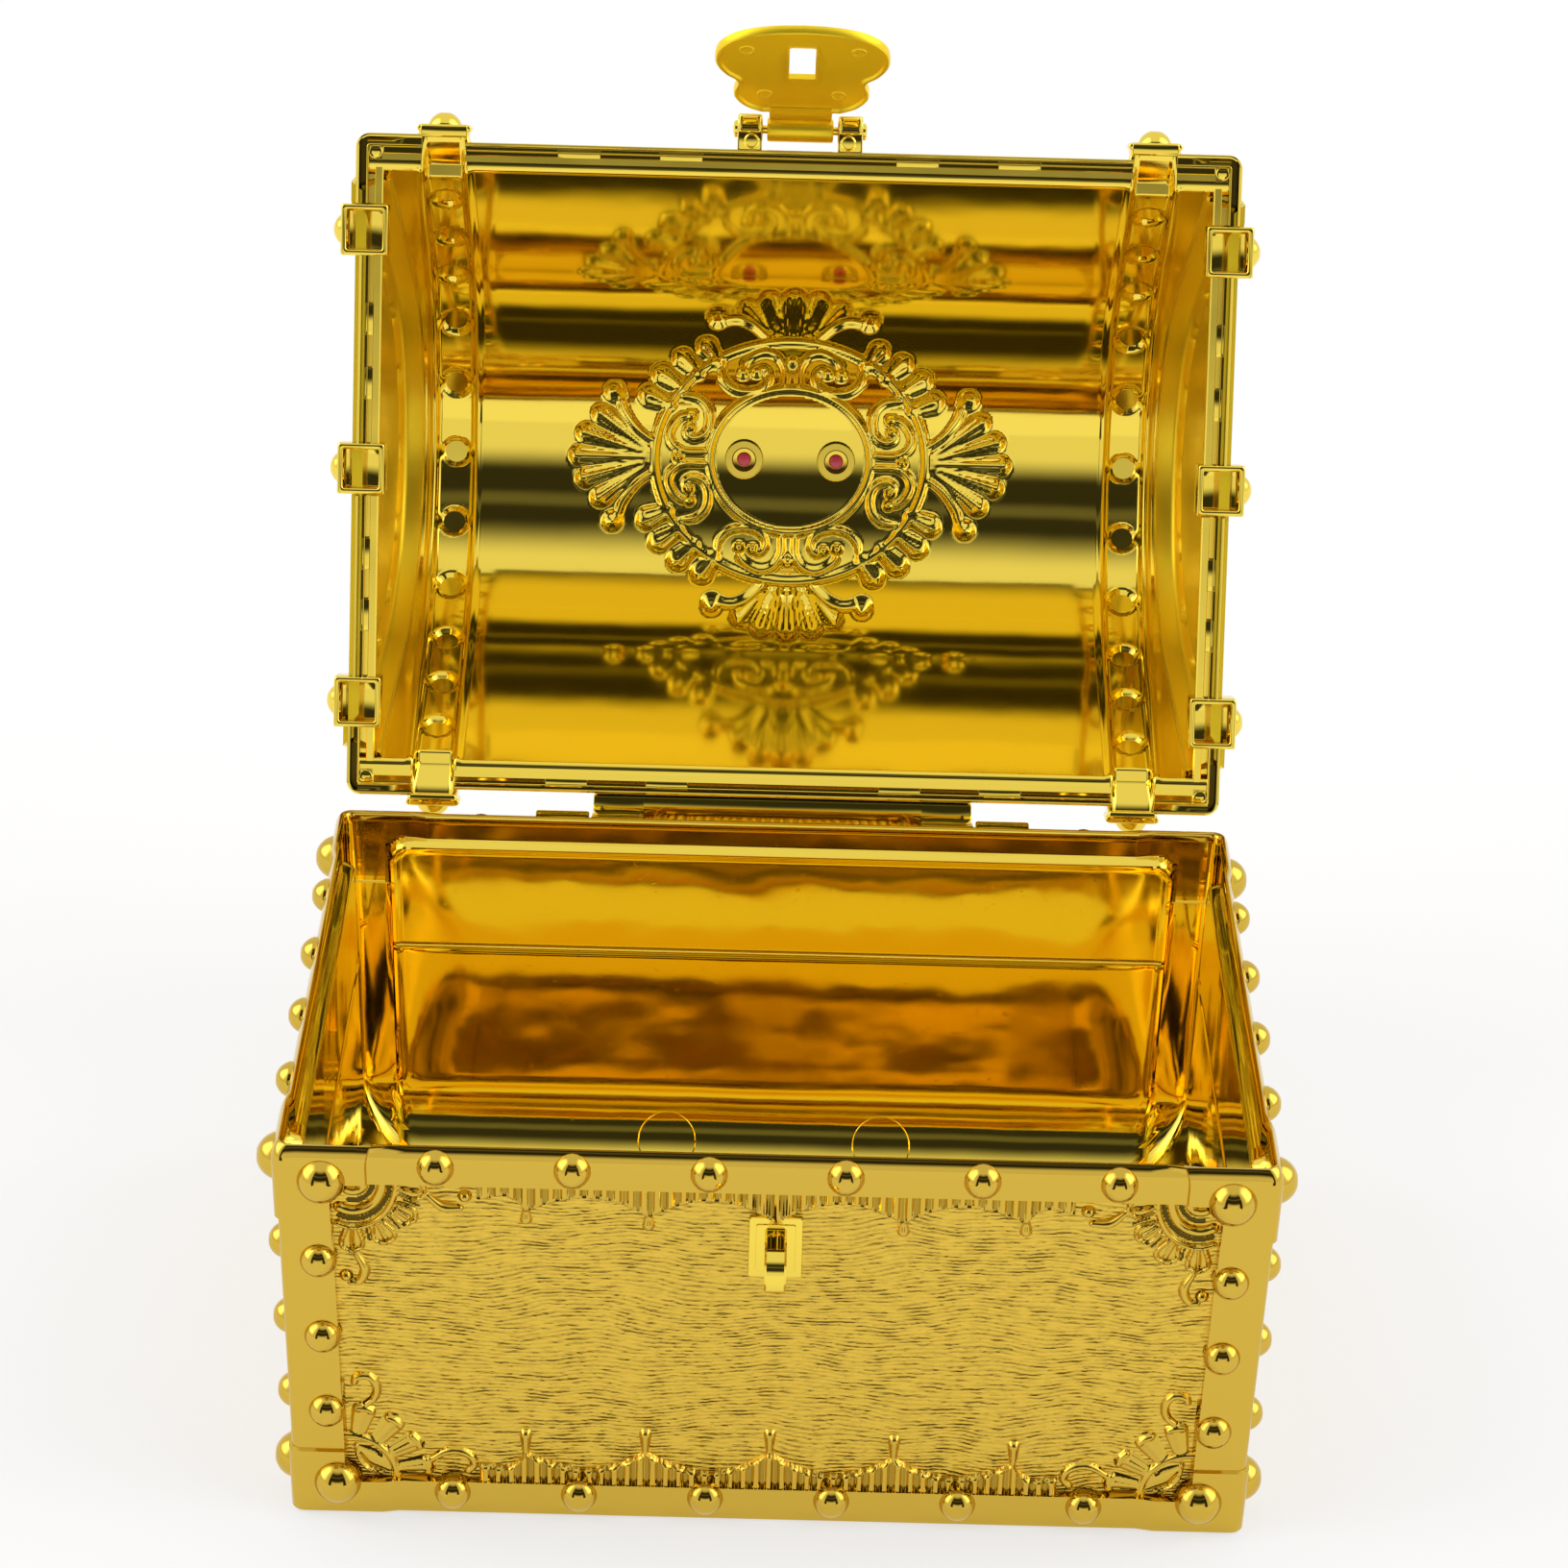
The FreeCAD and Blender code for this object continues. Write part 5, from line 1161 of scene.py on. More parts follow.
class CHEST_OT_lid_barrel(bpy.types.Operator):
    """Arched lid: smooth inside with hollow straps and medallion, carved outside"""
    bl_idname = "chest.lid_barrel"
    bl_label = "Lid barrel"

    def surface(self, s, x, run, grow):
        """Grid of points on the arch; the last columns run on to the leaning ends."""
        y, z = on_arch(s, run, grow)
        reach = end_place(s, on_arch(s, run, -s.wall)[1], s.end_wall)
        wide = np.where(np.abs(x) > LAST_COLUMN - 0.01, np.sign(x) * reach, x)
        return np.stack([wide, y, z], axis=-1)

    def rim_rows(self, s, sign, row_out, row_in, strap, hollow):
        """Rows from the arch down over the rim outside, and along its foot inside, hollow at the straps."""
        x = row_out[:, 0]
        reach = np.where(np.abs(x) > LAST_COLUMN - 2, np.sign(x) * (s.half_width - s.end_wall), x)
        between = np.abs(x) < s.strap_place
        level = np.ones(reach.shape)
        outs, ins = [], []
        for inset, z in ((0.3, s.rim_top), (0.0, s.rim_top - 0.3), (0.0, s.lid_low + 1.2)):
            y = sign * (s.half_depth - RIM_COVER - inset + s.strap_proud * strap
                        - RIM_RECESS * between * (1 - strap))
            outs.append(np.stack([reach, y, z * level], axis=-1))
        for inset, rise, share in ((5.6, 0.75, 1.0), (4.4, 0.95, 0.85), (2.1, 1.1, 0.1)):
            z = (s.lid_low + rise) * level + FOOT_HOLLOW * share * hollow
            ins.append(np.stack([row_in[:, 0], sign * (s.half_depth - inset) * level, z], axis=-1))
        return outs, ins

    def execute(self, context):
        s, looks = chest(context), finishes(context)
        stock = Stock()
        columns, runs = barrel_columns(s), barrel_runs(s)
        x, run = np.meshgrid(columns, runs)
        ornament = np.maximum(raised(medallion(), x, on_arch(s, run, -s.wall)[0]), 0)
        off_strap = np.abs(np.abs(x) - s.strap_place)
        channel = s.strap_proud * soft_step((s.strap / 2 - 1.0 - off_strap) / 0.5)
        lip = 0.35 * np.exp(-((off_strap - s.strap / 2 + 0.1) / 0.45) ** 2)
        dimples = np.zeros(x.shape)
        for i in range(-STRAP_STUDS, STRAP_STUDS + 1):
            gap = off_strap ** 2 + (run - i * STRAP_PITCH) ** 2
            np.maximum(dimples, DIMPLE_DEPTH * np.clip(1 - gap / DIMPLE ** 2, 0, 1) ** 0.85, out=dimples)
        strap = soft_step((s.strap / 2 - off_strap) / 0.4)
        kept, far = MEDALLION_RUN, np.abs(run)
        squeeze = (run_down_to(s, s.rim_top, 0) - kept) / (runs[-1] - kept)
        outer_run = np.sign(run) * np.where(far < kept, far, kept + (far - kept) * squeeze)
        inside = self.surface(s, x, run, 0.95 * ornament + channel + dimples - lip - s.wall)
        hollow = soft_step((s.strap / 2 - 0.9 - off_strap[0]) / 0.4)
        inside[..., 2] = np.maximum(inside[..., 2], s.lid_low + 0.9 + FOOT_HOLLOW * hollow)
        outside = self.surface(s, x, outer_run, 1.1 * ornament + s.strap_proud * strap)
        front_out, front_in = self.rim_rows(s, -1, outside[0], inside[0], strap[0], hollow)
        back_out, back_in = self.rim_rows(s, 1, outside[-1], inside[-1], strap[-1], hollow)
        out_rows = front_out[::-1] + list(outside) + back_out
        in_rows = front_in[::-1] + list(inside) + back_in
        stock.sheet(np.array(out_rows + in_rows[::-1]), wrap_rows=True)
        rows, rim, count = len(out_rows), len(front_out), len(columns)
        # The grained field outside takes the painted-shade copy of the gold; the medallion, straps and rim take
        # the bright gold
        marks = np.zeros((2 * rows, count - 1), int)
        grain = (ornament < 0.02) & (strap < 0.05)
        marks[rim:rows - rim, :] = grain[:, :-1] & grain[:, 1:]
        marks[rows:, :] = 2
        stock.marks = marks.reshape(-1).tolist()
        for edge in (0, count - 1):
            for i in range(rows - 1):
                over, under = i * count + edge, (2 * rows - 1 - i) * count + edge
                stock.faces.append([over, over + count, under - count, under])
                stock.marks.append(0)
        make_piece("lid_barrel_shell", stock, "lid",
                   [looks["gilt_bright"], looks["gilt_lid_grain_shaded"], looks["gilt_barrel"]],
                   at=LID_AT_REST, stands_for=["lid_barrel"], sharp=85.0)
        bosses = Stock()
        for side in (-1, 1):
            bosses.lathe(PEG_BOSS, (side * PEG_PLACE, 0, s.lid_top - s.wall), (0, 0, 1), 28)
            for i in range(-STRAP_STUDS, STRAP_STUDS + 1):
                y, z = on_arch(s, i * STRAP_PITCH, s.strap_proud + DIMPLE_DEPTH - s.wall)
                into = tuple(-c for c in arch_way(s, i * STRAP_PITCH))
                bosses.lathe(STUD_NIB, (side * s.strap_place, y, z), into, 12)
        make_piece("peg_bosses", bosses, "lid", [looks["gilt_barrel"]], at=LID_AT_REST)
        return {"FINISHED"}


class CHEST_OT_lid_studs(bpy.types.Operator):
    """Studs along the straps and on the strap feet of the lid"""
    bl_idname = "chest.lid_studs"
    bl_label = "Lid studs"

    foot_half, foot_thick, foot_bead = 4.6, 2.4, 0.65

    def execute(self, context):
        s, looks = chest(context), finishes(context)
        stock = Stock()
        profile = dome(s.stud, s.stud_rise - 0.2)
        for side in (-1, 1):
            for i in range(-STRAP_STUDS, STRAP_STUDS + 1):
                y, z = on_arch(s, i * STRAP_PITCH, s.strap_proud)
                stock.lathe(profile, (side * s.strap_place, y, z), arch_way(s, i * STRAP_PITCH))
            for end in (-1, 1):
                x, y = side * s.strap_place, end * (s.half_depth + s.strap_proud + 0.6)
                stock.lathe(profile, (x, y, s.lid_low + s.lid_rim / 2), (0, end, 0))
                near, far = sorted((y, y - end * self.foot_thick))
                stock.block((x - self.foot_half, near, s.lid_low),
                            (x + self.foot_half, far, s.rim_top + 0.4), 0.5)
                for bead in (-1, 1):
                    place = (x + bead * (self.foot_half - 0.2), y - end * 0.75,
                             s.lid_low + s.lid_rim / 2 + 0.1)
                    stock.lathe(soft_rod(self.foot_bead, s.lid_rim / 2, 0.3), place, (0, 0, 1), 14)
        make_piece("lid_strap_studs", stock, "lid", [looks["gilt_bright"]], at=LID_AT_REST,
                   sharp=60.0)
        return {"FINISHED"}


CLASP_PLACES = (-44.0, 0.5, 44.5)
CLASP_WIDTH = 9.5
RIM_RECESS, SIDE_RECESS, RIM_COVER = 1.3, 0.8, 0.25
RIM_OUTLINE = ((0.0, 6.8), (0.0, 0.4), (0.12, 0.1), (0.4, 0.0), (0.62, 0.1), (0.7, 0.4), (0.75, 1.9),
               (1.85, 1.9), (1.9, 0.4), (2.0, 0.1), (2.15, 0.0), (2.35, 0.0), (2.45, 0.15), (2.45, 2.6),
               (3.6, 2.6), (3.6, 1.0), (3.75, 0.85), (4.9, 0.85), (5.15, 1.1), (5.15, 3.2), (3.2, 6.8))
RIM_CHANNEL = slice(5, 8)
FRONT_BLOCKS, SIDE_BLOCKS = (-41.0, -22.0, 22.0, 41.0), (-27.5, -15.5, 16.5, 28.0)
BLOCK_INSET, BLOCK_HALF, BLOCK_LOW, BLOCK_HIGH = 3.0, 0.75, 0.5, 3.0
CORNER_PIN = (1.3, 4), (1.3, 0.35), (1.1, 0.2)


class CHEST_OT_lid_rim(bpy.types.Operator):
    """Double rim round the lid, broken by the clasps and the strap feet"""
    bl_idname = "chest.lid_rim"
    bl_label = "Lid rim"

    corner, pitch = 2.6, 0.8

    def path(self, s):
        """Closed walk round the rim: points with the outward direction, at a fine pitch."""
        walk = []
        wide, deep = s.half_width, s.half_depth
        legs = (((-wide + self.corner, -deep), (wide - self.corner, -deep), (0, -1)),
                ((wide, -deep + self.corner), (wide, deep - self.corner), (1, 0)),
                ((wide - self.corner, deep), (-wide + self.corner, deep), (0, 1)),
                ((-wide, deep - self.corner), (-wide, -deep + self.corner), (-1, 0)))
        for start, stop, out in legs:
            steps = int(math.dist(start, stop) / self.pitch)
            for t in np.linspace(0, 1, steps + 1):
                walk.append((start[0] + (stop[0] - start[0]) * t, start[1] + (stop[1] - start[1]) * t, *out))
            centre = (stop[0] - out[0] * self.corner, stop[1] - out[1] * self.corner)
            first = math.atan2(out[1], out[0])
            for t in np.linspace(0, math.pi / 2, 8)[1:-1]:
                way = (math.cos(first + t), math.sin(first + t))
                walk.append((centre[0] + way[0] * self.corner, centre[1] + way[1] * self.corner, *way))
        return walk

    def execute(self, context):
        s, looks = chest(context), finishes(context)
        stock = Stock()

        def open_here(x, y):
            """Whether a clasp or a strap foot breaks the rim."""
            if abs(abs(x) - s.half_width) < 0.3:
                return any(abs(y - place) < CLASP_WIDTH / 2 - 0.4 for place in CLASP_PLACES)
            if abs(abs(y) - s.half_depth) < 0.3:
                return abs(abs(x) - s.strap_place) < s.strap / 2 - 0.6
            return False

        def set_back(x, y):
            """How far the outer edge lies back: the corners stand out."""
            if abs(x) < s.strap_place and abs(abs(y) - s.half_depth) < 0.3:
                return RIM_RECESS
            return SIDE_RECESS if abs(y) < CLASP_PLACES[-1] and abs(abs(x) - s.half_width) < 0.3 else 0.0

        walk = self.path(s)
        gaps = [i for i, (x, y, _, _) in enumerate(walk) if open_here(x, y)]
        walk = walk[gaps[0]:] + walk[:gaps[0]]
        run = []
        for x, y, out_x, out_y in walk + [walk[0]]:
            if not open_here(x, y):
                back = set_back(x, y)
                insets = [max(i, min(i + back, 1.6 + 0.5 * i)) for i, _ in RIM_OUTLINE]
                run.append([(x - i * out_x, y - i * out_y, s.lid_low + h)
                            for i, (_, h) in zip(insets, RIM_OUTLINE)])
            elif run:
                start = len(stock.marks)
                stock.sheet(np.array(run), wrap_columns=True, ends=("first", "last"))
                # Painted shade: the rim's channel takes the darkened gold
                dark = np.zeros((len(run) - 1, len(RIM_OUTLINE)), int)
                dark[:, RIM_CHANNEL] = 1
                stock.marks[start:start + dark.size] = dark.reshape(-1).tolist()
                run = []
        low, high = s.lid_low + BLOCK_LOW, s.lid_low + BLOCK_HIGH
        for x in FRONT_BLOCKS:
            for end in (-1, 1):
                y = end * (s.half_depth - BLOCK_INSET)
                stock.block((x - 4, y - BLOCK_HALF, low), (x + 4, y + BLOCK_HALF, high), 0.15)
        for side in (-1, 1):
            x = side * (s.half_width - BLOCK_INSET)
            for y in SIDE_BLOCKS:
                stock.block((x - BLOCK_HALF, y - 3, low), (x + BLOCK_HALF, y + 3, high), 0.15)
            for end in (-1, 1):
                place = (side * (s.half_width - 3.6), end * (s.half_depth - 3.4), s.lid_low)
                stock.lathe(CORNER_PIN, place, (0, 0, 1), 20)
        make_piece("lid_rim", stock, "lid", [looks["gilt_bright"], looks["gilt_recess_shade"]],
                   at=LID_AT_REST)
        return {"FINISHED"}


class CHEST_OT_lid_ends(bpy.types.Operator):
    """Leaning end panels: flange and dimpled wall inside, studded band outside, three clasps each"""
    bl_idname = "chest.lid_ends"
    bl_label = "Lid ends"

    band, band_proud, stud_pitch, studs = 7.5, 0.9, 17.2, 3
    dent, dent_depth, foot_draw, wall_rows = 2.7, 1.7, 0.02, 60
    clasp_out, clasp_in, clasp_wall, clasp_depth = 2.6, 6.2, 1.5, 4.6

    def inner_rows(self, s, side, runs, low, grow):
        """Rows over the flange and then down the wall inside, with the hollows of the studs and the band."""
        rows = []
        for more, inset in ((2.0, s.flange_inset), (1.2, s.flange_inset + 0.3), (0.4, s.flange_inset + 0.3),
                            (0.0, s.flange_inset), (0.0, s.end_wall + 1.2), (-0.35, s.end_wall + 0.35),
                            (-1.2, s.end_wall)):
            y, z = on_arch(s, runs, grow + more)
            rows.append(np.stack([side * end_place(s, z, inset), y, z], axis=-1))
        start = rows[-1]
        for t in np.linspace(0, 1, self.wall_rows)[1:]:
            y = start[:, 1] * (1 - self.foot_draw * t)
            z = start[:, 2] + (low - start[:, 2]) * t
            dents = np.zeros(y.shape)
            for i in range(-self.studs, self.studs + 1):
                stud_y, stud_z = on_arch(s, i * self.stud_pitch, -self.band / 2 - 1.2)
                gap = (y - stud_y) ** 2 + (z - stud_z) ** 2
                np.maximum(dents, self.dent_depth * np.clip(1 - gap / self.dent ** 2, 0, 1) ** 0.7, out=dents)
            groove = self.band_proud * soft_step((self.band + 1.2 - inside_arch(s, y, z)) / 0.6)
            x = side * (end_place(s, z, s.end_wall) + dents + groove * min(1.0, 12 * t))
            rows.append(np.stack([x, y, z], axis=-1))
        return rows

    def outer_rows(self, s, side, edge_y, edge_z, low):
        """Rows up the outside, with its raised band, to the softened edge of the arch."""
        rows = []
        for t in np.linspace(1, 0, self.wall_rows):
            y = edge_y * (1 - self.foot_draw * t)
            z = edge_z + (low - edge_z) * t
            proud = self.band_proud * soft_step((self.band - inside_arch(s, y, z)) / 0.5)
            x = side * (end_place(s, z) + proud - 0.5 * max(0.0, 1 - 25 * t))
            rows.append(np.stack([x, y, z], axis=-1))
        return rows

    def clasps(self, s, stock, side):
        """Hollow clasps with a stud each, round the rim."""
        outer = side * (s.half_width + self.clasp_out)
        near, far = sorted((outer, side * (s.half_width - self.clasp_in)))
        for place in CLASP_PLACES:
            stock.block((near, place - CLASP_WIDTH / 2, s.lid_low),
                        (far, place + CLASP_WIDTH / 2, s.rim_top + 0.3), 0.35,
                        pocket=((2, -1), self.clasp_wall, self.clasp_depth))
            stock.lathe(dome(s.stud - 0.4, 1.6), (outer, place, s.lid_low + s.lid_rim / 2), (side, 0, 0))

    def execute(self, context):
        s, looks = chest(context), finishes(context)
        low, grow = s.lid_low + 1.2, -s.wall - 1.6
        limit = run_down_to(s, low, grow)
        runs = np.linspace(-limit, limit, 150)
        edge_y, edge_z = on_arch(s, runs * run_down_to(s, s.rim_top, 0) / limit, 0)
        for word, side in SIDES:
            stock = Stock()
            inner = self.inner_rows(s, side, runs, low, grow)
            outer = self.outer_rows(s, side, edge_y, edge_z, low)
            join = np.stack([side * end_place(s, edge_z, s.end_wall), edge_y, edge_z], axis=-1)
            grid = np.array(inner + outer + [join])
            stock.sheet(grid, wrap_rows=True)
            total, count = grid.shape[:2]
            # The field outside the band takes the painted-shade copy of the gold, the band the bright gold, and
            # the inside the satin gold painted lighter
            marks = np.zeros((total, count - 1), int)
            marks[:len(inner)] = 2
            for i, row in enumerate(outer[:-1]):
                marks[len(inner) + i] = inside_arch(s, row[:-1, 1], row[:-1, 2]) > self.band + 0.4
            stock.marks = marks.reshape(-1).tolist()
            for edge in (0, count - 1):
                stock.faces.append([i * count + edge for i in range(total)])
                stock.marks.append(0)
            for i in range(-self.studs, self.studs + 1):
                y, z = on_arch(s, i * self.stud_pitch, -self.band / 2)
                place = (side * (end_place(s, z) + self.band_proud), y, z)
                stock.lathe(dome(s.stud, s.stud_rise - 0.3), place, (side, 0, 0))
            self.clasps(s, stock, side)
            node = f"lid_end_{word}"
            make_piece(f"end_panel_{word}", stock, "lid",
                       [looks["gilt_bright"], looks["gilt_lid_grain_shaded"], looks["gilt_satin_lit"]],
                       at=LID_AT_REST, stands_for=[node], sharp=45.0)
        return {"FINISHED"}


class CHEST_OT_jewel(bpy.types.Operator):
    """Red cabochon in a gold bezel on the crown, with its two pegs through the lid"""
    bl_idname = "chest.jewel"
    bl_label = "Jewel"

    seat_rise, bezel_grip, crown_drop = 2.1, 0.7, 0.2
    peg = (0.98, 3.0), (0.98, -5.5), (1.35, -5.6), (1.35, -6.1), (1.1, -6.35), (0.2, -6.4)
    bezel = (1.2, -3.4), (1.2, 0.1), (0.9, 0.6), (0.2, 0.9), (-0.6, 0.7), (-0.9, 0.2), (-1.4, -0.3)

    def execute(self, context):
        s, looks = chest(context), finishes(context)
        stone, bezel = Stock(), Stock()
        half, seat, up = s.jewel / 2, s.lid_top + self.seat_rise, (0, 0, 1)
        edge, rise = half - self.bezel_grip, s.jewel_rise - self.crown_drop
        turn = np.linspace(0, math.pi / 2, 12)[:-1]
        profile = [(edge, -0.5)] + [(edge * math.cos(t), rise * math.sin(t)) for t in turn] + [(0.2, rise)]
        stone.lathe(profile, (0, 0, seat), up, 48)
        for side in (-1, 1):
            stone.lathe(self.peg, (side * PEG_PLACE, 0, seat), up, 16)
        bezel.lathe([(half + more, z) for more, z in self.bezel], (0, 0, seat), up, 48)
        make_piece("jewel_stone", stone, "lid", [looks["red_stone"]], at=LID_AT_REST,
                   stands_for=["lid_jewel"])
        make_piece("jewel_bezel", bezel, "lid", [looks["gilt_bright"]], at=LID_AT_REST)
        return {"FINISHED"}


# Hasp

HASP_OUTLINE = ((5.85, -20.6), (5.85, -17.2), (7.6, -16.9), (10.4, -15.2), (12.2, -12.6), (12.5, -10.2),
                (11.9, -7.6), (12.4, -6.0), (14.2, -4.2), (15.6, -1.6), (16.0, 1.2), (15.2, 4.4), (13.0, 7.2),
                (9.6, 9.0), (5.0, 10.1), (0.0, 10.45))
HASP_THICK, HASP_SET = 1.4, 1.7
HASP_MIDDLE_Y, HASP_MIDDLE_Z = PIN_Y - HASP_SET, PIN_Z - STAPLE_DROP
SLOT_HALF, SLOT_TALL = 2.4, 5.2
RIVETS = (10.2, 3.6), (-10.2, 3.6), (6.8, -11.2), (-6.8, -11.2)
RIVET_RADIUS, RIVET_RISE = 1.3, 0.7
RIVET_BACK = (1.5, -0.5), (1.5, 0.02), (1.3, 0.16), (1.05, 0.08), (0.75, -0.14), (0.4, -0.02), (0.1, 0.04)
LUG_RING = (1.45, 2.0), (1.45, 0.15), (1.3, 0.0), (1.12, 0.1), (1.05, 1.2), (0.1, 1.3)
PIN_HEAD = (1.6, 0), (1.6, 0.45), (1.2, 0.72), (0.2, 0.8)


def hasp_edges():
    """The outline of the hasp and, at the same angles, the edge of its slot."""
    half = [point[:2] for point in curved([(x, y, 0) for x, y in HASP_OUTLINE], 5)]
    outline = np.array(half + [(-x, y) for x, y in half[-2::-1]])
    turn = np.arctan2(outline[:, 1], outline[:, 0])
    way = np.stack([np.cos(turn), np.sin(turn)], axis=-1)
    reach = np.minimum(SLOT_HALF / np.maximum(np.abs(way[:, :1]), 1e-6),
                       SLOT_TALL / np.maximum(np.abs(way[:, 1:]), 1e-6))
    return outline, reach * way


class CHEST_OT_hasp(bpy.types.Operator):
    """Hasp with its lugs and pin: two-lobed dished plate with a lipped edge, slot and rivets"""
    bl_idname = "chest.hasp"
    bl_label = "Hasp"

    lug_near, lug_far, lug_radius = 7.0, 11.7, 2.9
    barrel_half, barrel_radius, pin_radius, neck_half = 6.15, 2.2, 0.8, 5.85

    def lugs(self, s):
        """Two lugs under the lid's front, each with a pocket and a round mark at its foot."""
        stock = Stock()
        wide = (self.lug_far - self.lug_near) / 2
        for side in (-1, 1):
            middle = side * (self.lug_near + self.lug_far) / 2
            stock.lathe(soft_rod(self.lug_radius, wide, 0.5), (middle, PIN_Y, PIN_Z), (1, 0, 0), 28)
            stock.block((middle - wide + SLIP, PIN_Y, PIN_Z - self.lug_radius),
                        (middle + wide - SLIP, -s.half_depth + 1.5, PIN_Z + self.lug_radius), 0.4)
            stock.block((middle - wide + 0.3, PIN_Y - 2.7, s.lid_low + 0.25),
                        (middle + wide - 0.3, PIN_Y + 0.6, s.lid_low + 3.6), 0.3, pocket=((2, -1), 0.8, 1.6))
            stock.lathe(LUG_RING, (middle * 0.96, PIN_Y + 2.2, s.lid_low), (0, 0, 1), 24)
        return stock

    def pin(self):
        """Pin through the lugs, with a head at each end."""
        stock = Stock()
        stock.lathe(soft_rod(self.pin_radius, self.lug_far + 0.4, 0.1), (0, PIN_Y, PIN_Z), (1, 0, 0), 20)
        for side in (-1, 1):
            stock.lathe(PIN_HEAD, (side * self.lug_far, PIN_Y, PIN_Z), (side, 0, 0), 20)
        return stock

    def plate(self):
        """The plate with its neck and its rolled end, hanging."""
        stock = Stock()
        outline, slot = hasp_edges()
        span = np.linalg.norm(outline - slot, axis=1)[:, None]

        def ring(share, lift, inset=0.0):
            """Ring at a share of the way from slot to outline, drawn in and lifted, with rivets in front."""
            flat = slot + (outline - slot) * share - (outline - slot) / span * inset
            bump = np.zeros(len(flat))
            for x, y in RIVETS:
                gap = (flat[:, 0] - x) ** 2 + (flat[:, 1] - y) ** 2
                np.maximum(bump, RIVET_RISE * np.clip(1 - gap / RIVET_RADIUS ** 2, 0, 1), out=bump)
            out = lift + np.where(lift > 0, bump, 0)
            return np.stack([flat[:, 0], HASP_MIDDLE_Y - out, HASP_MIDDLE_Z - flat[:, 1]], axis=-1)

        front, back = HASP_THICK / 2, -HASP_THICK / 2
        rings = [ring(0, back + 0.1), ring(0, front - 0.15), ring(0.02, front)]
        rings += [ring(share, front) for share in np.linspace(0.06, 0.86, 20)]
        for lift, inset in ((front + 0.05, 1.1), (front + 0.45, 0.75), (front + 0.5, 0.3),
                            (front + 0.25, 0.0), (back + 0.3, 0.0), (back, 0.3), (back, 0.9),
                            (back + 0.45, 1.25)):
            rings.append(ring(1, lift, inset))
        rings += [ring(share, back + 0.5) for share in np.linspace(0.86, 0.1, 10)]
        stock.sheet(np.array(rings), wrap_rows=True, wrap_columns=True)
        for x, y in RIVETS:
            stock.lathe(RIVET_BACK, (x, HASP_MIDDLE_Y - back - 0.5, HASP_MIDDLE_Z - y), (0, 1, 0), 20)
        stock.lathe(soft_rod(self.barrel_radius, self.barrel_half, 0.35), (0, PIN_Y, PIN_Z), (1, 0, 0), 28)
        stock.block((-self.neck_half, HASP_MIDDLE_Y - 0.6, HASP_MIDDLE_Z + 15.5),
                    (self.neck_half, HASP_MIDDLE_Y + 0.6, PIN_Z), 0.3)
        return stock

    def execute(self, context):
        s, looks = chest(context), finishes(context)
        # The hasp takes the satin gold, painted lighter as painted light
        bright, satin = [looks["gilt_bright"]], [looks["gilt_satin_lit"]]
        make_piece("hasp_lugs", self.lugs(s), "lid", bright, at=LID_AT_REST)
        make_piece("hasp_pin_rod", self.pin(), "lid", bright, at=LID_AT_REST,
                   stands_for=["hasp_pin"])
        make_piece("hasp", self.plate(), "hasp", satin, at=HASP_AT_REST,
                   stands_for=["hasp_plate"], sharp=45.0)
        return {"FINISHED"}


# Stage

CAMERA_TARGET = Vector((-0.000372, 0.0, 0.1102))
CAMERA_RISE, CAMERA_YAW, CAMERA_ROLL = 26.142, -0.392, 1.643
CAMERA_DISTANCE, CAMERA_FOCAL, IMAGE_SIDE, SENSOR = 0.84508, 5140.9, 1632, 36.0


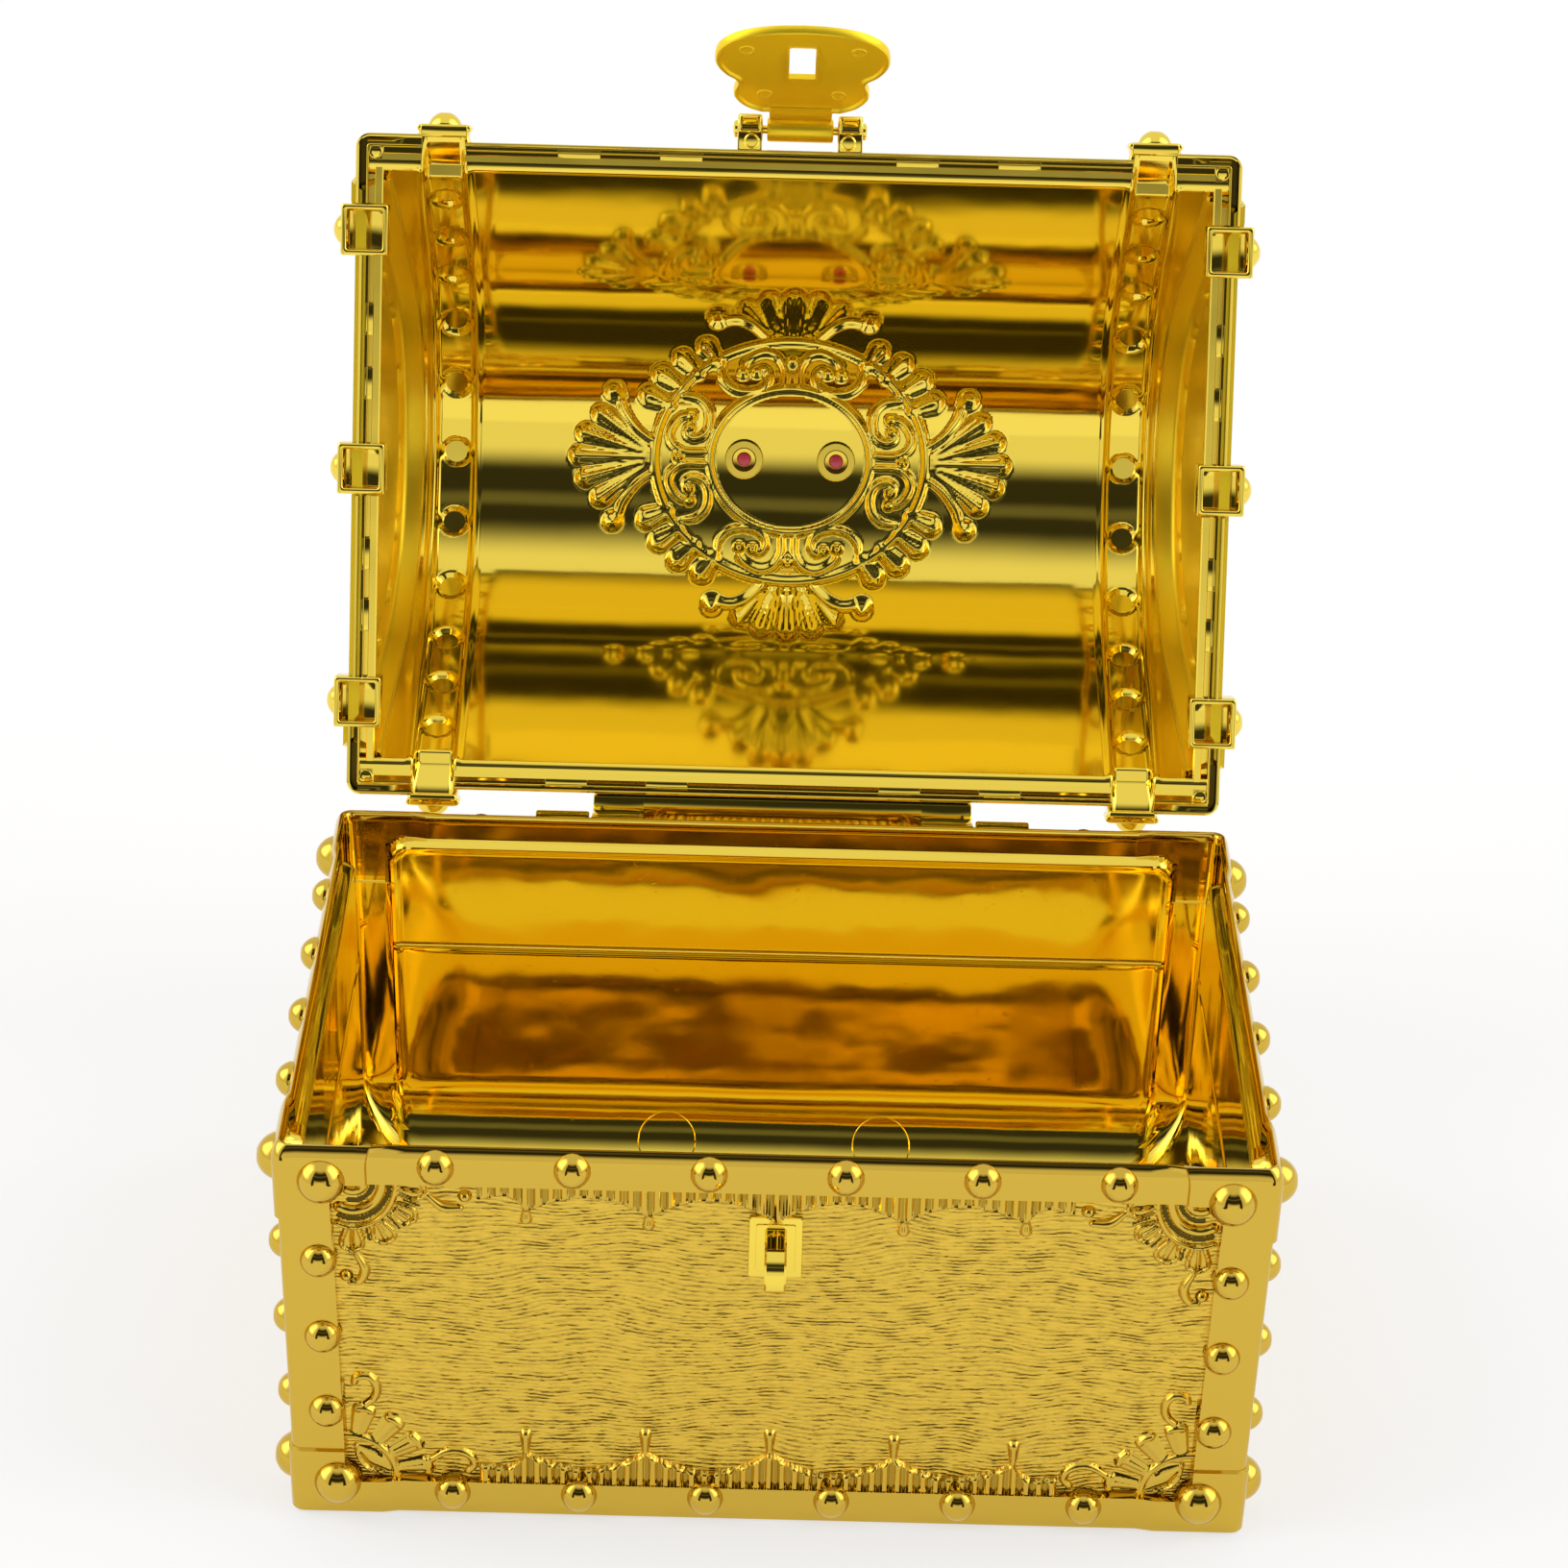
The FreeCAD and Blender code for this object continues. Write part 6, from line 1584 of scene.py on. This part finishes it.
class CHEST_OT_stage(bpy.types.Operator):
    """Pale floor, soft white tent with a dark opening at the viewer's side, and the camera"""
    bl_idname = "chest.stage"
    bl_label = "Stage"

    reach, sink, glow_share = 6.0, 0.0001, 0.6
    mouth, mouth_near, mouth_far, mouth_blend, mouth_shade = 0.33, 0.42, 0.93, 20.0, (0.03, 0.03, 0.03)
    tent_white, mouth_depth, strip_light, lamp_light = 0.88, 0.964, 0.12, 2.1

    def floor(self, context):
        """Pale floor that keeps the shadow; reflections see it dark at both sides of the mouth, a painted shade
        on the floor that the camera does not see.
        """
        mesh = bpy.data.meshes.new("floor")
        corners = [(x * self.reach, y * self.reach, 0) for x, y in ((-1, -1), (1, -1), (1, 1), (-1, 1))]
        mesh.from_pydata(corners, [], [(0, 1, 2, 3)])
        ground = bpy.data.objects.new("floor", mesh)
        context.scene.collection.objects.link(ground)
        ground.location.z = -self.sink
        material = bpy.data.materials.new("pale_floor")
        material.use_nodes = True
        tree = material.node_tree
        shader = tree.nodes["Principled BSDF"]
        shader.inputs["Roughness"].default_value = 0.9
        shader.inputs["Specular IOR Level"].default_value = 0.0
        glow = tree.nodes.new("ShaderNodeEmission")
        glow.inputs["Strength"].default_value = 1.0
        place = tree.nodes.new("ShaderNodeTexCoord")
        parts = tree.nodes.new("ShaderNodeSeparateXYZ")
        tree.links.new(place.outputs["Object"], parts.inputs[0])
        # Painted shade on the floor: a dark wedge at each side of the mouth, for every ray but the camera's
        ahead = maths(tree, "MULTIPLY", parts.outputs[1], -1.0)
        aside = maths(tree, "ABSOLUTE", parts.outputs[0])
        past = maths(tree, "SUBTRACT", ahead, self.mouth)
        within = maths(tree, "SUBTRACT", maths(tree, "MULTIPLY", ahead, self.mouth_far), aside)
        beyond = maths(tree, "SUBTRACT", aside, maths(tree, "MULTIPLY", ahead, self.mouth_near))
        dark = maths(tree, "MINIMUM", past, maths(tree, "MINIMUM", within, beyond))
        dark = maths(tree, "MULTIPLY", dark, self.mouth_blend, clamp=True)
        path = tree.nodes.new("ShaderNodeLightPath")
        dark = maths(tree, "MULTIPLY", dark, maths(tree, "SUBTRACT", 1.0, path.outputs["Is Camera Ray"]))
        pale = context.scene.chest_colours.ground
        tree.links.new(blend(tree, dark, pale, self.mouth_shade), shader.inputs["Base Color"])
        tree.links.new(blend(tree, dark, (1, 1, 1), self.mouth_shade), glow.inputs["Color"])
        seen = maths(tree, "ADD", path.outputs["Is Camera Ray"], path.outputs["Is Glossy Ray"])
        seen = maths(tree, "ADD", seen, path.outputs["Is Transmission Ray"], clamp=True)
        share = maths(tree, "MULTIPLY", seen, self.glow_share)
        mix = tree.nodes.new("ShaderNodeMixShader")
        tree.links.new(share, mix.inputs[0])
        tree.links.new(shader.outputs[0], mix.inputs[1])
        tree.links.new(glow.outputs[0], mix.inputs[2])
        tree.links.new(mix.outputs[0], tree.nodes["Material Output"].inputs["Surface"])
        mesh.materials.append(material)

    def tent(self, context):
        """White all round, with a soft lamp at each side.

        Towards the viewer, reflections see a dark opening with a dim strip in it and a pale card below.
        """
        world = bpy.data.worlds.new("white_tent")
        context.scene.world = world
        world.use_nodes = True
        tree = world.node_tree
        place = tree.nodes.new("ShaderNodeTexCoord")
        parts = tree.nodes.new("ShaderNodeSeparateXYZ")
        tree.links.new(place.outputs["Generated"], parts.inputs[0])
        height = maths(tree, "ARCSINE", parts.outputs[2])
        ahead = maths(tree, "MULTIPLY", parts.outputs[1], -1.0)
        bearing = maths(tree, "ARCTAN2", maths(tree, "ABSOLUTE", parts.outputs[0]), ahead)

        def ramp(value, low, high):
            """Smooth rise from 0 to 1 between two angles in degrees."""
            node = tree.nodes.new("ShaderNodeMapRange")
            node.interpolation_type = "SMOOTHSTEP"
            node.inputs["From Min"].default_value = math.radians(low)
            node.inputs["From Max"].default_value = math.radians(high)
            tree.links.new(value, node.inputs["Value"])
            return node.outputs["Result"]

        def patch(value, *angles):
            """Share of a patch of the sky: up over the first two angles, down over the last two."""
            return maths(tree, "MULTIPLY", ramp(value, *angles[:2]), ramp(value, *angles[2:]))

        strip = maths(tree, "MULTIPLY", patch(height, 33.5, 38.5, 44, 40), self.strip_light)
        depth = maths(tree, "SUBTRACT", self.mouth_depth, strip)
        card = maths(tree, "MULTIPLY", ramp(height, 24, 11), ramp(bearing, 32, 26))
        opening = maths(tree, "MULTIPLY", ramp(height, 71, 49), maths(tree, "SUBTRACT", 1.0, card))
        opening = maths(tree, "MULTIPLY", opening, ramp(bearing, 46, 40))
        path = tree.nodes.new("ShaderNodeLightPath")
        unseen = maths(tree, "SUBTRACT", 1.0, path.outputs["Is Camera Ray"])
        opening = maths(tree, "MULTIPLY", opening, unseen)
        white = maths(tree, "SUBTRACT", 1.0, maths(tree, "MULTIPLY", opening, depth))
        white = maths(tree, "MULTIPLY", white, self.tent_white)
        lamps = maths(tree, "MULTIPLY", patch(bearing, 55, 80, 125, 100), patch(height, 5, 20, 70, 45))
        lamps = maths(tree, "MULTIPLY", lamps, self.lamp_light)
        tree.links.new(maths(tree, "ADD", white, lamps), tree.nodes["Background"].inputs["Color"])

    def camera(self, context):
        """Camera at the photograph's place: it circles the target and rolls about its view."""
        rise, yaw, roll = (math.radians(a) for a in (CAMERA_RISE, CAMERA_YAW, CAMERA_ROLL))
        back = Vector((math.sin(yaw) * math.cos(rise), -math.cos(yaw) * math.cos(rise), math.sin(rise)))
        right = (-back).cross(Vector((0, 0, 1))).normalized()
        up = right.cross(-back)
        across = math.cos(roll) * right + math.sin(roll) * up
        upward = -math.sin(roll) * right + math.cos(roll) * up
        lens = bpy.data.cameras.new("camera")
        lens.sensor_width = SENSOR
        lens.lens = CAMERA_FOCAL / IMAGE_SIDE * SENSOR
        camera = bpy.data.objects.new("camera", lens)
        spin = Matrix((across, upward, back)).transposed()
        camera.matrix_world = Matrix.Translation(CAMERA_TARGET + CAMERA_DISTANCE * back) @ spin.to_4x4()
        context.scene.collection.objects.link(camera)
        context.scene.camera = camera

    def execute(self, context):
        context.scene.view_settings.view_transform = "Standard"
        self.floor(context)
        self.tent(context)
        self.camera(context)
        return {"FINISHED"}


class VIEW3D_PT_chest(bpy.types.Panel):
    """Buttons that build the chest"""
    bl_label = "Gilt Treasure Chest"
    bl_space_type = "VIEW_3D"
    bl_region_type = "UI"
    bl_category = "Chest"

    def draw(self, context):
        for operator in OPERATORS:
            self.layout.operator(operator.bl_idname)


OPERATORS = (CHEST_OT_base, CHEST_OT_base_ornament, CHEST_OT_base_studs, CHEST_OT_staple, CHEST_OT_hinge,
             CHEST_OT_lid_barrel, CHEST_OT_lid_studs, CHEST_OT_lid_rim, CHEST_OT_lid_ends, CHEST_OT_jewel,
             CHEST_OT_hasp, CHEST_OT_stage)
CLASSES = (ChestSizes, ChestColours) + OPERATORS + (VIEW3D_PT_chest,)


def register():
    """Registers the classes and puts the sizes and colours on the scene."""
    for item in CLASSES:
        bpy.utils.register_class(item)
    bpy.types.Scene.chest_sizes = bpy.props.PointerProperty(type=ChestSizes)
    bpy.types.Scene.chest_colours = bpy.props.PointerProperty(type=ChestColours)


def unregister():
    """Takes away what register put in."""
    del bpy.types.Scene.chest_colours
    del bpy.types.Scene.chest_sizes
    for item in reversed(CLASSES):
        bpy.utils.unregister_class(item)


def main():
    """Builds every piece and the stage in order."""
    register()
    for operator in OPERATORS:
        family, name = operator.bl_idname.split(".")
        getattr(getattr(bpy.ops, family), name)()


if __name__ == "__main__":
    main()
